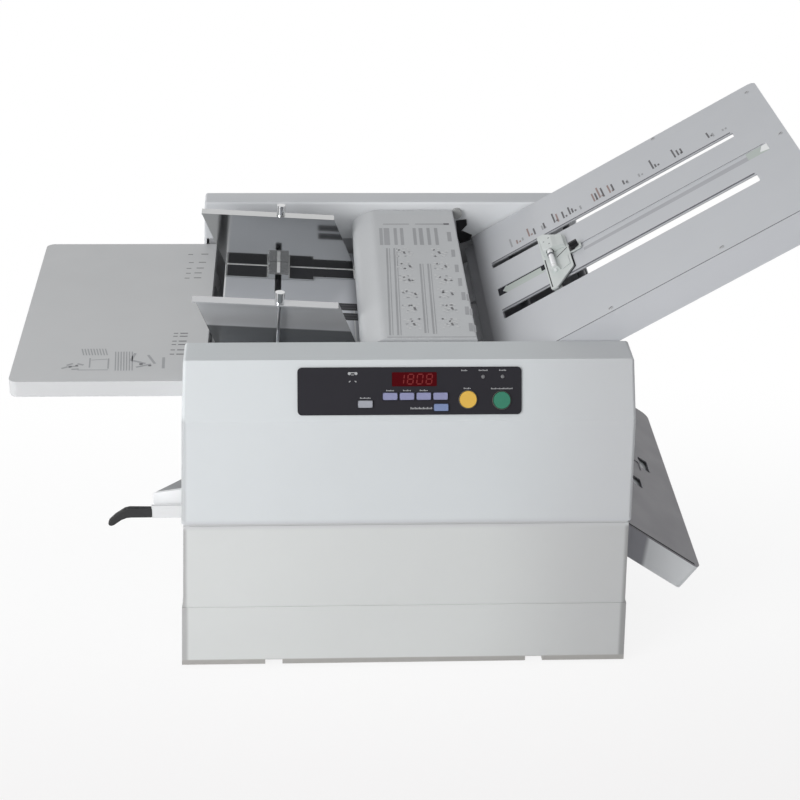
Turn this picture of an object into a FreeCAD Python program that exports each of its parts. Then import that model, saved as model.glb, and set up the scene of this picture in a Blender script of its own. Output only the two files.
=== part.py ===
import FreeCAD, Part
import math
import operator
import os

import Sketcher
from FreeCAD import Placement, Rotation, Vector

# Desktop buckle-folding machine. Millimetres and degrees, +Z up, +X towards the fold plates, -Y towards the
# operator. While it is modelled, X = 0 is the middle of the casing, Y = 0 its front face and Z = 0 the desk.
# At the end everything is moved so that the origin is the middle of the machine's footprint.

SIZES = {
    # Moulded casing
    "body_width": 492,
    "cover_draft": 2,
    "cover_wall": 3,
    "front_top_z": 386,
    "lean_start_z": 325,
    "lean_depth": 28,
    "strip_back_y": 72,
    "upper_bottom_z": 196,
    "lower_inset": 5.5,
    "rebate_height": 6,
    "rebate_depth": 4,
    "cover_overlap": 10,
    "skirt_z": 82,
    "skirt_step": 1.2,
    "cover_floor_gap": 3,
    "foot_notch_x": 152,
    "foot_notch_width": 20,
    "foot_notch_height": 6,
    "front_edge_radius": 4,
    "rear_step": 6,
    "rear_wall_y": 464,
    "rear_back_y": 500,
    "rear_top_z": 397,
    "rear_top_fall": 2,
    "rear_edge_radius": 9,
    "inner_wall_bottom_z": 345,
    "vent_low_z": 120,
    "vent_width": 60,
    "vent_height": 5,
    "vent_pitch": 11,
    "vent_count": 6,
    # Frame
    "sheet": 1.5,
    "base_inset": 4,
    "base_front_y": 12.8,
    "base_back_y": 493,
    "base_wall": 2,
    "base_left_height": 134,
    "lever_notch_depth": 34,
    "plate_passage": 11,
    "frame_thickness": 3,
    "front_frame_y": 66,
    "rear_frame_y": 467.3,
    "frame_inset": 10,
    "frame_top_z": 382.7,
    "frame_corner": 14,
    "tie_radius": 5,
    "hook_rod_radius": 6,
    "base_rod_inset": 36,
    "base_rod_z": 110,
    "foot_radius": 14,
    "foot_height": 14,
    "foot_inset_x": 27,
    "foot_front_y": 40,
    "foot_back_inset": 34,
    "panel_inset": 2,
    "left_panel_bottom_z": 220,
    "left_panel_top_z": 319,
    "panel_return": 15,
    "panel_front_bottom_z": 215,
    "right_panel_top_z": 340,
    # Rollers and drive
    "shaft_radius": 6,
    "bearing_radius": 11,
    "bearing_width": 5,
    "bearing_fit": 0.05,
    "roller_radius": 17.75,
    "gear_pitch": 36,
    "roller_front_y": 80,
    "roller_back_y": 456,
    "roller_groove": 8,
    "main_x": 67.5,
    "main_z": 300,
    "upper_roller_angle": 104,
    "right_roller_angle": -5,
    "lower_roller_angle": -100,
    "feed_roller_x": -24,
    "feed_roller_z": 358,
    "feed_roller_radius": 20,
    "feed_tyre_width": 24,
    "feed_tyre_gap": 4,
    "feed_hub_length": 68,
    "feed_hub_radius": 11,
    "gear_teeth": 24,
    "gear_front_y": 474,
    "gear_face": 8,
    "gear_tip_radius": 19.3,
    "gear_root_radius": 16.2,
    "pulley_front_y": 484,
    "pulley_face": 8,
    "main_pulley_radius": 18,
    "feed_pulley_radius": 11,
    "motor_pulley_radius": 12,
    "belt_thickness": 1.5,
    "belt_gap": 0.3,
    "motor_x": -40,
    "motor_z": 80,
    "motor_radius": 30,
    "motor_length": 84,
    "motor_plate": 4,
    "motor_plate_margin": 6,
    "motor_shaft_radius": 4,
    "separator_gap": 0.4,
    "separator_block_height": 24,
    "chute_start_x": 38,
    "chute_start_z": 238,
    "chute_reach": 8,
    "chute_horn": 46,
    "chute_lip_z": 184.7,
    "chute_wall": 14.5,
    "separator_width": 54,
    # Outer tray
    "tray_length": 217,
    "tray_inset": 18,
    "tray_top_z": 338,
    "tray_depth": 19,
    "tray_corner": 10,
    "ear_inset": 40,
    "ear_width": 40,
    "ear_depth": 16,
    "ear_gap": 0.5,
    "ear_lean": 20,
    "side_clearance": 1.5,
    # Paper table and side guides
    "table_inset": 31,
    "table_left_z": 334.5,
    "table_tilt": 3.2,
    "table_end_gap": 14.3,
    "table_flange": 17,
    "table_hinge_x": 7,
    "table_hinge_drop": 10.5,
    "pivot_clearance": 0.08,
    "slot_x": 67,
    "slot_width": 8,
    "front_slot_start": 92,
    "front_slot_end": 214,
    "rear_slot_start": 322,
    "rear_slot_end": 443,
    "front_guide_y": 156,
    "rear_guide_y": 403,
    "guide_height": 68.5,
    "guide_top_left": -32,
    "guide_top_end": 41,
    "guide_foot_left": 1,
    "guide_foot_end": 9,
    "guide_flange": 16,
    "guide_foot": 37,
    "guide_foot_narrow": 28,
    "guide_foot_step": 112,
    "guide_block_half": 13,
    "guide_block_height": 7,
    "guide_lift": 0.3,
    "knob_radius": 5.5,
    "knob_height": 13,
    "stem_radius": 2,
    "pad_length": 46,
    "pad_height": 1,
    "pad_margin": 10,
    "pad_stand": 0.1,
    # Table lifting lever
    "lever_pivot_x": -150,
    "lever_pivot_z": 296,
    "lever_y": 76,
    "lever_thickness": 4,
    "lever_bar_z": 167,
    "lever_bar_height": 16,
    "lever_knee_inset": 19,
    "lever_bar_reach": 47.5,
    "grip_straight": 26,
    "grip_tip_reach": 51.5,
    "grip_drop": 10,
    "grip_wall": 1,
    "grip_thickness": 10,
    "lifter_reach": 75,
    "lifter_radius": 4,
    "lifter_gap": 0.5,
    # Centre cover
    "centre_left_x": -51,
    "centre_ridge_x": -26.5,
    "centre_right_x": 78,
    "centre_left_z": 360,
    "centre_ridge_z": 385.5,
    "centre_right_z": 386.5,
    "centre_bottom_z": 353,
    "centre_front_y": 79,
    "centre_back_y": 457,
    "centre_wall": 2.5,
    "centre_pin_radius": 3,
    "centre_pin_inset": 4,
    "centre_pin_z": 357,
    # Fold plates
    "upper_x": 91.2,
    "upper_z": 339.2,
    "upper_angle": 31.3,
    "upper_length": 423,
    "lower_x": 112,
    "lower_z": 252.3,
    "lower_angle": 34.8,
    "lower_length": 297,
    "plate_front_y": 73.5,
    "plate_back_y": 461.5,
    "plate_depth": 36,
    "plate_corner": 10,
    "rail_start": 55,
    "rail_width": 12,
    "paper_gap": 3,
    "skin_start": 16,
    "plate_slot_start": 34,
    "slot_corner": 2,
    "front_slot_y": 203,
    "front_slot_width": 22,
    "rear_slot_y": 345,
    "rear_slot_width": 14,
    "slot_widening": 4,
    "upper_slot_end": 368,
    "lower_slot_end": 215,
    "groove_y": 266,
    "groove_width": 22,
    "groove_depth": 0.8,
    "groove_end_extra": 28,
    "sight_front_y": 203,
    "sight_front_width": 23,
    "sight_front_end": 235,
    "sight_rear_y": 266,
    "sight_rear_width": 29,
    "sight_rear_end": 260,
    "sight_length": 15,
    "hook_drop": 24,
    "upper_rest_inset": 12.3,
    "lower_rest_inset": 41,
    # Paper stops
    "upper_stop_x": 99,
    "lower_stop_x": 75,
    "stop_near_half": 78,
    "stop_far_half": 46,
    "stop_length": 34,
    "stop_lift": 0.3,
    "stop_sheet": 2,
    "finger_length": 10,
    "finger_width": 5,
    "finger_depth": 8,
    "bar_radius": 3.4,
    "bar_length": 74,
    "bar_lift": 6.4,
    "ear_thickness": 3,
    "lock_radius": 5.5,
    "lock_height": 7,
    # Control panel, along the leaning face
    "panel_left": -122.5,
    "panel_right": 121.5,
    "panel_low": 7,
    "panel_high": 59,
    "panel_thickness": 1.5,
    "panel_corner": 5,
    "window_left": -20,
    "window_right": 29,
    "window_low": 38,
    "window_high": 53.5,
    "key_width": 15.5,
    "key_height": 7.5,
    "key_gap": 0.4,
    "key_stand": 2.2,
    "key_skirt": 1.5,
    "key_skirt_margin": 1.2,
    "key_pitch": 18.3,
    "mode_key_x": -22,
    "mode_key_y": 27.3,
    "side_key_x": -49,
    "side_key_y": 19,
    "set_key_x": 33.5,
    "set_key_y": 15,
    "round_key_radius": 9.2,
    "stop_key_x": 63,
    "stop_key_y": 23.5,
    "start_key_x": 99.8,
    "start_key_y": 22.5,
    "board_depth": 7,
    "board_margin": 5,
    "board_thickness": 1.6,
    "supply_x": 70,
    "supply_y": 110,
    "supply_length": 110,
    "supply_width": 90,
    "supply_thickness": 4,
    "transformer_margin": 10,
    "transformer_length": 46,
    "transformer_width": 40,
    "transformer_height": 36,
    # Rear fittings
    "inlet_x": 180,
    "inlet_z": 62,
    "inlet_width": 48,
    "inlet_height": 60,
    "inlet_depth": 24,
    "inlet_flange": 2,
    "inlet_rim": 3,
    "socket_width": 24,
    "socket_height": 16,
    "socket_depth": 14,
    "socket_rise": 7,
    "switch_drop": 13,
    "switch_well": 9,
    "switch_width": 20,
    "switch_height": 13,
    "pressure_knob_x": 84,
    "pressure_knob_z": 381,
    "pressure_knob_radius": 6.5,
    "pressure_knob_length": 6,
}

OPERATORS = {"+": operator.add, "-": operator.sub, "*": operator.mul, "/": operator.truediv}


class Size:
    """A length or angle together with the sheet expression that it comes from."""

    def __init__(self, value, text=None):
        self.value = float(value)
        self.text = text or f"({self.value:.6f})"

    def join(self, sign, other, swapped=False):
        first, second = self, as_size(other)
        if swapped:
            first, second = second, first
        value = OPERATORS[sign](first.value, second.value)
        return Size(value, f"({first.text} {sign} {second.text})")

    def __add__(self, other):
        return self.join("+", other)

    def __radd__(self, other):
        return self.join("+", other, True)

    def __sub__(self, other):
        return self.join("-", other)

    def __rsub__(self, other):
        return self.join("-", other, True)

    def __mul__(self, other):
        return self.join("*", other)

    def __rmul__(self, other):
        return self.join("*", other, True)

    def __truediv__(self, other):
        return self.join("/", other)

    def __rtruediv__(self, other):
        return self.join("/", other, True)

    def __neg__(self):
        return 0 - self

    def __float__(self):
        return self.value


def as_size(value):
    return value if isinstance(value, Size) else Size(value)


def sine(angle):
    return Size(math.sin(math.radians(angle.value)), f"sin(1 deg * {angle.text})")


def cosine(angle):
    return Size(math.cos(math.radians(angle.value)), f"cos(1 deg * {angle.text})")


def tangent(angle):
    return sine(angle) / cosine(angle)


def bind(item, path, size):
    """Sets a property, through the sheet where the size comes from it."""
    size = as_size(size)
    if "Sizes." in size.text:
        item.setExpression(path, size.text)
    elif path == "AttachmentOffset.Base.z":
        item.AttachmentOffset = Placement(Vector(0, 0, size.value), Rotation())
    else:
        setattr(item, path, size.value)


def bind_count(pattern, count):
    """Sets how often a feature repeats, a whole number."""
    count = as_size(count)
    if "Sizes." in count.text:
        pattern.setExpression("Occurrences", count.text)
    else:
        pattern.Occurrences = round(count.value)


class Dimensions:
    """The driving dimensions, as cells of the document's sheet and as attributes here."""

    def __init__(self, sheet, values):
        for row, (name, value) in enumerate(values.items(), 1):
            sheet.set(f"A{row}", name)
            sheet.set(f"B{row}", str(value))
            sheet.setAlias(f"B{row}", name)
            setattr(self, name, Size(value, f"Sizes.{name}"))


doc = FreeCAD.newDocument("folding_machine")
sizes_sheet = doc.addObject("Spreadsheet::Sheet", "Sizes")
D = Dimensions(sizes_sheet, SIZES)
doc.recompute()

subparts = []
pockets = []


def point(x, y, z):
    return Vector(float(x), float(y), float(z))


# ---------------------------------------------------------------- sketches


class Circle:
    """A round loop of a sketch."""

    def __init__(self, x, y, radius):
        self.x = as_size(x)
        self.y = as_size(y)
        self.radius = as_size(radius)


def rect(x0, y0, x1, y1, corner=0):
    return [(x0, y0, corner), (x1, y0, corner), (x1, y1, corner), (x0, y1, corner)]


def ring_of(points):
    """Corner points as (x, y, corner radius), all of them sizes."""
    return [tuple(as_size(v) for v in (tuple(p) + (0,))[:3]) for p in points]


def unit(start, end):
    dx = end[0] - start[0]
    dy = end[1] - start[1]
    length = math.hypot(dx, dy)
    return dx / length, dy / length


class Corner:
    """Where the outline turns: the two tangent points and, if it is rounded, the arc between them."""

    def __init__(self, before, here, after):
        x, y, radius = (v.value for v in here)
        to_before = unit((x, y), (before[0].value, before[1].value))
        to_after = unit((x, y), (after[0].value, after[1].value))
        self.start = self.end = (x, y)
        self.round = radius > 0
        if not self.round:
            return
        cosine_between = to_before[0] * to_after[0] + to_before[1] * to_after[1]
        half = math.acos(max(-1.0, min(1.0, cosine_between))) / 2
        reach = radius / math.tan(half)
        middle = unit((0, 0), (to_before[0] + to_after[0], to_before[1] + to_after[1]))
        away = radius / math.sin(half)
        self.centre = (x + middle[0] * away, y + middle[1] * away)
        self.start = (x + to_before[0] * reach, y + to_before[1] * reach)
        self.end = (x + to_after[0] * reach, y + to_after[1] * reach)
        self.turns_left = to_before[1] * to_after[0] - to_before[0] * to_after[1] > 0

    def angle_of(self, place):
        return math.atan2(place[1] - self.centre[1], place[0] - self.centre[0])


def fix_place(sketch, geometry, x, y):
    """Ties a point of the sketch to the origin by two bound distances."""
    for direction, size in (("DistanceX", x), ("DistanceY", y)):
        index = sketch.addConstraint(Sketcher.Constraint(direction, -1, 1, geometry, 1, size.value))
        if "Sizes." in size.text:
            sketch.setExpression(f"Constraints[{index}]", size.text)


def fix_radius(sketch, geometry, radius):
    index = sketch.addConstraint(Sketcher.Constraint("Radius", geometry, radius.value))
    if "Sizes." in radius.text:
        sketch.setExpression(f"Constraints[{index}]", radius.text)


def add_circle(sketch, circle):
    centre = Vector(circle.x.value, circle.y.value, 0)
    geometry = sketch.addGeometry(Part.Circle(centre, Vector(0, 0, 1), circle.radius.value), False)
    for direction, size in (("DistanceX", circle.x), ("DistanceY", circle.y)):
        index = sketch.addConstraint(Sketcher.Constraint(direction, -1, 1, geometry, 3, size.value))
        if "Sizes." in size.text:
            sketch.setExpression(f"Constraints[{index}]", size.text)
    fix_radius(sketch, geometry, circle.radius)


def add_outline(sketch, points):
    """Draws a closed outline, fully constrained, with each corner's place and radius bound to the sheet."""
    points = ring_of(points)
    count = len(points)
    corners = [Corner(points[i - 1], points[i], points[(i + 1) % count]) for i in range(count)]
    lines = []
    for i in range(count):
        start = Vector(*corners[i].end, 0)
        end = Vector(*corners[(i + 1) % count].start, 0)
        lines.append(sketch.addGeometry(Part.LineSegment(start, end), False))
    for i in range(count):
        before = lines[i - 1]
        after = lines[i]
        x, y, radius = points[i]
        if corners[i].round:
            add_corner_arc(sketch, corners[i], before, after, radius)
            place = sketch.addGeometry(Part.Point(Vector(x.value, y.value, 0)), True)
            fix_place(sketch, place, x, y)
            sketch.addConstraint(Sketcher.Constraint("PointOnObject", place, 1, before))
            sketch.addConstraint(Sketcher.Constraint("PointOnObject", place, 1, after))
        else:
            sketch.addConstraint(Sketcher.Constraint("Coincident", before, 2, after, 1))
            fix_place(sketch, after, x, y)


def add_corner_arc(sketch, corner, before, after, radius):
    circle = Part.Circle(Vector(*corner.centre, 0), Vector(0, 0, 1), radius.value)
    start = corner.angle_of(corner.start)
    end = corner.angle_of(corner.end)
    first, last = 1, 2
    if not corner.turns_left:
        start, end = end, start
        first, last = 2, 1
    arc = sketch.addGeometry(Part.ArcOfCircle(circle, start, end), False)
    sketch.addConstraint(Sketcher.Constraint("Tangent", before, 2, arc, first))
    sketch.addConstraint(Sketcher.Constraint("Tangent", arc, last, after, 1))
    fix_radius(sketch, arc, radius)


# ---------------------------------------------------------------- sub-parts


class Piece:
    """One sub-part, as a PartDesign body of extruded sketches."""

    PLANES = {"x": ("YZ_Plane", 1), "y": ("XZ_Plane", -1), "z": ("XY_Plane", 1)}
    AXES = {"x": "X_Axis", "y": "Y_Axis", "z": "Z_Axis"}

    def __init__(self, label, separate=False):
        self.label = label
        self.body = doc.addObject("PartDesign::Body", label)
        self.body.AllowCompound = separate
        self.steps = 0
        subparts.append(self.body)

    def origin_feature(self, role):
        return [f for f in self.body.Origin.OriginFeatures if f.Role == role][0]

    def sketch(self, axis, loops, place):
        """A sketch across the axis at a place along it. The XZ plane faces -Y, so its offset changes sign."""
        role, sign = self.PLANES[axis]
        self.steps += 1
        sketch = self.body.newObject("Sketcher::SketchObject", f"{self.label}_sketch_{self.steps}")
        sketch.AttachmentSupport = (self.origin_feature(role), [""])
        sketch.MapMode = "FlatFace"
        bind(sketch, "AttachmentOffset.Base.z", as_size(place) * sign)
        for loop in loops:
            if isinstance(loop, Circle):
                add_circle(sketch, loop)
            else:
                add_outline(sketch, loop)
        return sketch

    def pad(self, axis, loops, low, high):
        """Material between two places along the axis."""
        start = high if axis == "y" else low
        sketch = self.sketch(axis, loops, start)
        feature = self.body.newObject("PartDesign::Pad", f"{self.label}_pad_{self.steps}")
        feature.Profile = sketch
        bind(feature, "Length", as_size(high) - low)
        self.body.Tip = feature
        return feature

    def cut(self, axis, loops, low, high):
        """Removes what lies between two places along the axis. A pocket runs against its sketch's normal."""
        start = low if axis == "y" else high
        sketch = self.sketch(axis, loops, start)
        base = self.body.Tip
        feature = self.body.newObject("PartDesign::Pocket", f"{self.label}_pocket_{self.steps}")
        feature.Profile = sketch
        bind(feature, "Length", as_size(high) - low)
        self.body.Tip = feature
        pockets.append((feature, base))
        return feature

    def polar(self, feature, axis, count):
        doc.recompute()
        pattern = self.body.newObject("PartDesign::PolarPattern", f"{self.label}_polar_{self.steps}")
        pattern.Originals = [feature]
        pattern.Axis = (self.origin_feature(self.AXES[axis]), [""])
        pattern.Angle = 360
        bind_count(pattern, count)
        self.body.Tip = pattern

    def linear(self, feature, axis, length, count):
        doc.recompute()
        pattern = self.body.newObject("PartDesign::LinearPattern", f"{self.label}_linear_{self.steps}")
        pattern.Originals = [feature]
        pattern.Direction = (self.origin_feature(self.AXES[axis]), [""])
        bind(pattern, "Length", length)
        bind_count(pattern, count)
        self.body.Tip = pattern

    def round_edges(self, radius, wanted):
        """Fillets the edges for which wanted(edge) is true."""
        doc.recompute()
        base = self.body.Tip
        names = [f"Edge{i}" for i, edge in enumerate(base.Shape.Edges, 1) if wanted(edge)]
        if not names:
            raise ValueError(f"{self.label}: no edge to round")
        self.steps += 1
        feature = self.body.newObject("PartDesign::Fillet", f"{self.label}_fillet_{self.steps}")
        feature.Base = (base, names)
        bind(feature, "Radius", radius)
        self.body.Tip = feature

    def place(self, placement):
        self.body.Placement = placement


def group(label, items):
    """Separate solids that share one node."""
    compound = doc.addObject("Part::Compound", label)
    compound.Links = items
    subparts.append(compound)
    return compound


def cylinder(name, axis, radius, low, high, x=0, y=0, z=0):
    item = doc.addObject("Part::Cylinder", name)
    bind(item, "Radius", radius)
    bind(item, "Height", as_size(high) - low)
    turn = {"x": Rotation(Vector(0, 1, 0), 90), "y": Rotation(Vector(1, 0, 0), -90), "z": Rotation()}[axis]
    start = {"x": point(low, y, z), "y": point(x, low, z), "z": point(x, y, low)}[axis]
    item.Placement = Placement(start, turn)
    return item


def ring(name, outer, inner, low, high, x, z):
    """A ring about an axis along Y."""
    whole = cylinder(name + "_outside", "y", outer, low, high, x=x, z=z)
    bore = cylinder(name + "_bore", "y", inner, low - 1, high + 1, x=x, z=z)
    cut = doc.addObject("Part::Cut", name)
    cut.Base = whole
    cut.Tool = bore
    return cut


# ---------------------------------------------------------------- places that several sub-parts share

BACK_INSIDE_Y = D.rear_frame_y
FRONT_INSIDE_Y = D.front_frame_y
FRONT_FRAME_OUT_Y = D.front_frame_y - D.frame_thickness
REAR_FRAME_OUT_Y = D.rear_frame_y + D.frame_thickness
BASE_TOP_Z = D.foot_height + D.base_wall


HALF_BODY = D.body_width / 2
BASE_HALF = HALF_BODY - D.base_inset
FRAME_HALF = HALF_BODY - D.frame_inset
PANEL_PLANE = HALF_BODY - D.panel_inset
TRAY_RIGHT = D.tray_inset - PANEL_PLANE
TABLE_LEFT = D.table_inset - PANEL_PLANE
TABLE_LENGTH = (D.feed_roller_x - D.table_end_gap - TABLE_LEFT) / cosine(D.table_tilt)
PAPER_CENTRE_Y = (D.front_guide_y + D.rear_guide_y) / 2
STOP_CENTRE_Y = (D.front_slot_y + D.rear_slot_y) / 2
CENTRE_PIN_X = D.centre_right_x - D.centre_pin_inset


def casing_half(z):
    """Half width of the front covers at a height: the draft widens them towards the desk."""
    return HALF_BODY + (D.front_top_z - z) * tangent(D.cover_draft)


def rear_half(z):
    return HALF_BODY - D.rear_step + (D.rear_top_z - z) * tangent(D.cover_draft)


def around_main(angle):
    return D.main_x + D.gear_pitch * cosine(angle), D.main_z + D.gear_pitch * sine(angle)


MAIN_AXIS = (D.main_x, D.main_z)
UPPER_AXIS = around_main(D.upper_roller_angle)
RIGHT_AXIS = around_main(D.right_roller_angle)
LOWER_AXIS = around_main(D.lower_roller_angle)
FEED_AXIS = (D.feed_roller_x, D.feed_roller_z)
MOTOR_AXIS = (D.motor_x, D.motor_z)
ROLLER_AXES = [MAIN_AXIS, UPPER_AXIS, RIGHT_AXIS, LOWER_AXIS, FEED_AXIS]
LIFTER_AXIS = (D.lever_pivot_x, D.lever_pivot_z)

TABLE_FRAME = Placement(point(TABLE_LEFT, 0, D.table_left_z), Rotation(Vector(0, 1, 0), D.table_tilt.value))
UPPER_FRAME = Placement(point(D.upper_x, 0, D.upper_z), Rotation(Vector(0, 1, 0), -D.upper_angle.value))
LOWER_FRAME = Placement(point(D.lower_x, 0, D.lower_z), Rotation(Vector(0, 1, 0), D.lower_angle.value))
LEAN_ANGLE = math.degrees(math.atan2(float(D.front_top_z - D.lean_start_z), float(D.lean_depth)))
PANEL_FRAME = Placement(point(0, 0, D.lean_start_z), Rotation(Vector(1, 0, 0), LEAN_ANGLE))


def rod_under(frame, x, depth):
    """Where a rod across the machine lies, given its place in the frame of the piece that it carries."""
    centre = frame.multVec(point(x, 0, -depth))
    return Size(centre.x), Size(centre.z)


TABLE_HINGE = rod_under(TABLE_FRAME, D.table_hinge_x, D.table_hinge_drop)
REST_DEPTH = D.plate_depth + D.tie_radius + 0.1
UPPER_REST_REACH = FRAME_HALF - D.upper_rest_inset - D.upper_x
LOWER_REST_REACH = FRAME_HALF - D.lower_rest_inset - D.lower_x
UPPER_REST_X = (UPPER_REST_REACH - REST_DEPTH * sine(D.upper_angle)) / cosine(D.upper_angle)
LOWER_REST_X = (LOWER_REST_REACH + REST_DEPTH * sine(D.lower_angle)) / cosine(D.lower_angle)
LOWER_PLATE_TOP_Z = D.lower_z - (PANEL_PLANE - D.lower_x) * tangent(D.lower_angle)
LOWER_PLATE_UNDER_Z = LOWER_PLATE_TOP_Z - D.plate_depth / cosine(D.lower_angle)


# ---------------------------------------------------------------- casing


def trapezoid(half, inset, low, high):
    """Front view of a drafted box, a given distance inside the casing's sides."""
    return [
        (inset - half(low), low),
        (half(low) - inset, low),
        (half(high) - inset, high),
        (inset - half(high), high),
    ]


def side_waste(half, low, high):
    """What lies outside the drafted sides of a plain block, one loop for each side."""
    margin = 30
    right = [
        (half(low), low),
        (half(low) + margin, low),
        (half(low) + margin, high),
        (half(high), high),
    ]
    left = [(-x, z) for x, z in right]
    return [right, left]


def hinge_seats(piece, low, high):
    """Blind bores for the centre cover's pins and the arch over the feed shaft, in an inner wall."""
    arch = D.bearing_radius + 1.5
    x, z = FEED_AXIS
    piece.cut("y", [Circle(x, z, arch)], low, high)
    piece.cut("y", [rect(x - arch, D.inner_wall_bottom_z - 1, x + arch, z)], low, high)
    piece.cut("y", [Circle(CENTRE_PIN_X, D.centre_pin_z, D.centre_pin_radius + D.pivot_clearance)], low, high)
    for rod_x, rod_z, radius in upper_rods():
        piece.cut("y", [Circle(rod_x, rod_z, radius + 0.5)], low, high)


def upper_rods():
    """The rods that pass through the inner walls."""
    hook = rod_under(UPPER_FRAME, D.rail_start + 2, D.hook_drop)
    rest = rod_under(UPPER_FRAME, UPPER_REST_X, REST_DEPTH)
    return [(*hook, D.hook_rod_radius), (*rest, D.tie_radius)]


def upper_front_cover():
    piece = Piece("upper_front_cover")
    low = D.upper_bottom_z
    wall = D.cover_wall
    margin = casing_half(low) + 5
    side_view = [
        (0, low),
        (0, D.lean_start_z),
        (D.lean_depth, D.front_top_z),
        (D.strip_back_y, D.front_top_z),
        (D.strip_back_y, low),
    ]
    piece.pad("x", [side_view], -margin, margin)
    piece.cut("y", side_waste(casing_half, low - 1, D.front_top_z + 1), -1, D.strip_back_y + 1)
    inner_front = D.lean_depth + wall
    inner_back = D.strip_back_y - wall
    inner_top = D.front_top_z - wall
    lean_top = D.lean_start_z + wall / 2
    piece.cut("y", [trapezoid(casing_half, wall, low - 1, inner_top)], inner_front, inner_back)
    piece.cut("y", [trapezoid(casing_half, wall, low - 1, lean_top)], wall, inner_front)
    strip = trapezoid(casing_half, wall, low - 1, D.inner_wall_bottom_z)
    piece.cut("y", [strip], inner_back, D.strip_back_y + 1)
    lean_wedge = [(wall, lean_top), (inner_front, lean_top), (inner_front, inner_top)]
    inner_half = casing_half(D.front_top_z) - wall
    piece.cut("x", [lean_wedge], -inner_half, inner_half)
    reach = sine(Size(LEAN_ANGLE))
    window_low = D.lean_start_z + (D.panel_low + 1) * reach
    window_high = D.lean_start_z + (D.panel_high - 4) * reach
    window = rect(D.panel_left + 4, window_low, D.panel_right - 4, window_high)
    piece.cut("y", [window], 0, inner_front + 1)
    hinge_seats(piece, inner_back - 0.5, D.strip_back_y + 0.5)
    top = D.front_top_z.value
    front = D.lean_depth.value

    def on_front_edges(edge):
        box = edge.BoundBox
        outside = abs(box.Center.x) > casing_half(box.Center.z).value - 0.5
        lying = box.YLength < 1 and abs(box.Center.y) < 0.5
        leaning = box.YLength > front - 1 and box.ZLength > 10 and box.YMax < front + 1
        upper = box.ZLength < 0.5 and abs(box.Center.z - top) < 0.5 and box.YLength > 10
        return outside and (lying or leaning or upper)

    piece.round_edges(D.front_edge_radius, on_front_edges)


def lower_front_cover():
    piece = Piece("lower_front_cover")
    wall = D.cover_wall
    low = D.cover_floor_gap
    face = D.upper_bottom_z - D.rebate_height
    top = D.upper_bottom_z + D.cover_overlap
    side_inset = 2
    front = D.lower_inset

    def shell(inset, y, bottom, ceiling):
        piece.pad("y", [trapezoid(casing_half, inset, bottom, ceiling)], y, D.strip_back_y)

    shell(side_inset, front, low, face)
    shell(side_inset + D.rebate_depth, front + D.rebate_depth, low, top)
    shell(side_inset - D.skirt_step, front - D.skirt_step, low, D.skirt_z)
    inner = side_inset + D.rebate_depth + wall
    inside = front + D.rebate_depth + wall
    piece.cut("y", [trapezoid(casing_half, inner, low - 1, top + 1)], inside, D.strip_back_y + 1)
    notches = []
    for side in (-1, 1):
        middle = D.foot_notch_x * side
        half = D.foot_notch_width / 2
        notches.append(rect(middle - half, low - 1, middle + half, low + D.foot_notch_height))
    piece.cut("y", notches, front - D.skirt_step - 1, inside + 1)


def rear_cover():
    piece = Piece("rear_cover")
    wall = D.cover_wall
    low = D.cover_floor_gap
    front = D.rear_wall_y
    back = D.rear_back_y
    top = D.rear_top_z
    margin = rear_half(low) + 5
    side_view = [
        (front, low),
        (back, low),
        (back, top, D.rear_edge_radius),
        (front, top - D.rear_top_fall, D.cover_wall),
    ]
    piece.pad("x", [side_view], -margin, margin)
    piece.cut("y", side_waste(rear_half, low - 1, top + 1), front - 1, back + 1)
    inner_top = top - D.rear_top_fall - wall
    piece.cut("y", [trapezoid(rear_half, wall, low - 1, inner_top)], front + wall, back - wall)
    piece.cut("y", [trapezoid(rear_half, wall, low - 1, D.inner_wall_bottom_z)], front - 1, front + wall)
    hinge_seats(piece, front - 0.5, front + wall + 0.5)
    knob = Circle(D.pressure_knob_x, D.pressure_knob_z, D.stem_radius + D.pivot_clearance)
    piece.cut("y", [knob], front - 1, front + wall + 1)
    inlet = rect(
        D.inlet_x - D.inlet_width / 2 + D.inlet_rim,
        D.inlet_z - D.inlet_height / 2 + D.inlet_rim,
        D.inlet_x + D.inlet_width / 2 - D.inlet_rim,
        D.inlet_z + D.inlet_height / 2 - D.inlet_rim,
    )
    piece.cut("y", [inlet], back - wall - 1, back + 1)
    vent = rect(
        D.motor_x - D.vent_width / 2,
        D.vent_low_z,
        D.motor_x + D.vent_width / 2,
        D.vent_low_z + D.vent_height,
    )
    slot = piece.cut("y", [vent], back - wall - 1, back + 1)
    piece.linear(slot, "z", D.vent_pitch * (D.vent_count - 1), D.vent_count)
    top_z = top.value

    def on_end_edges(edge):
        box = edge.BoundBox
        outside = abs(box.Center.x) > rear_half(box.Center.z).value - 0.5
        return outside and box.Center.z > top_z - 4 and box.YLength > 10 and box.ZLength < 4

    piece.round_edges(D.cover_wall, on_end_edges)


# ---------------------------------------------------------------- frame


def base_plate():
    piece = Piece("base_plate")
    half = BASE_HALF + D.base_wall
    front = D.base_front_y
    back = D.base_back_y
    bottom = D.foot_height
    piece.pad("z", [rect(-half, front, half, back, 4)], bottom, BASE_TOP_Z)
    left_top = bottom + D.base_left_height
    right_top = LOWER_PLATE_UNDER_Z - D.plate_passage
    wall_front = D.base_front_y + D.strip_back_y / 4
    wall_back = D.base_back_y - D.strip_back_y / 4
    piece.pad("x", [rect(wall_front, bottom, wall_back, left_top)], -half, -BASE_HALF)
    piece.pad("x", [rect(wall_front, bottom, wall_back, right_top)], BASE_HALF, half)
    notch_back = D.lever_y + D.lever_thickness + 10
    notch = rect(D.lever_y - 10, left_top - D.lever_notch_depth, notch_back, left_top + 1)
    piece.cut("x", [notch], -half - 1, 1 - BASE_HALF)


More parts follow.
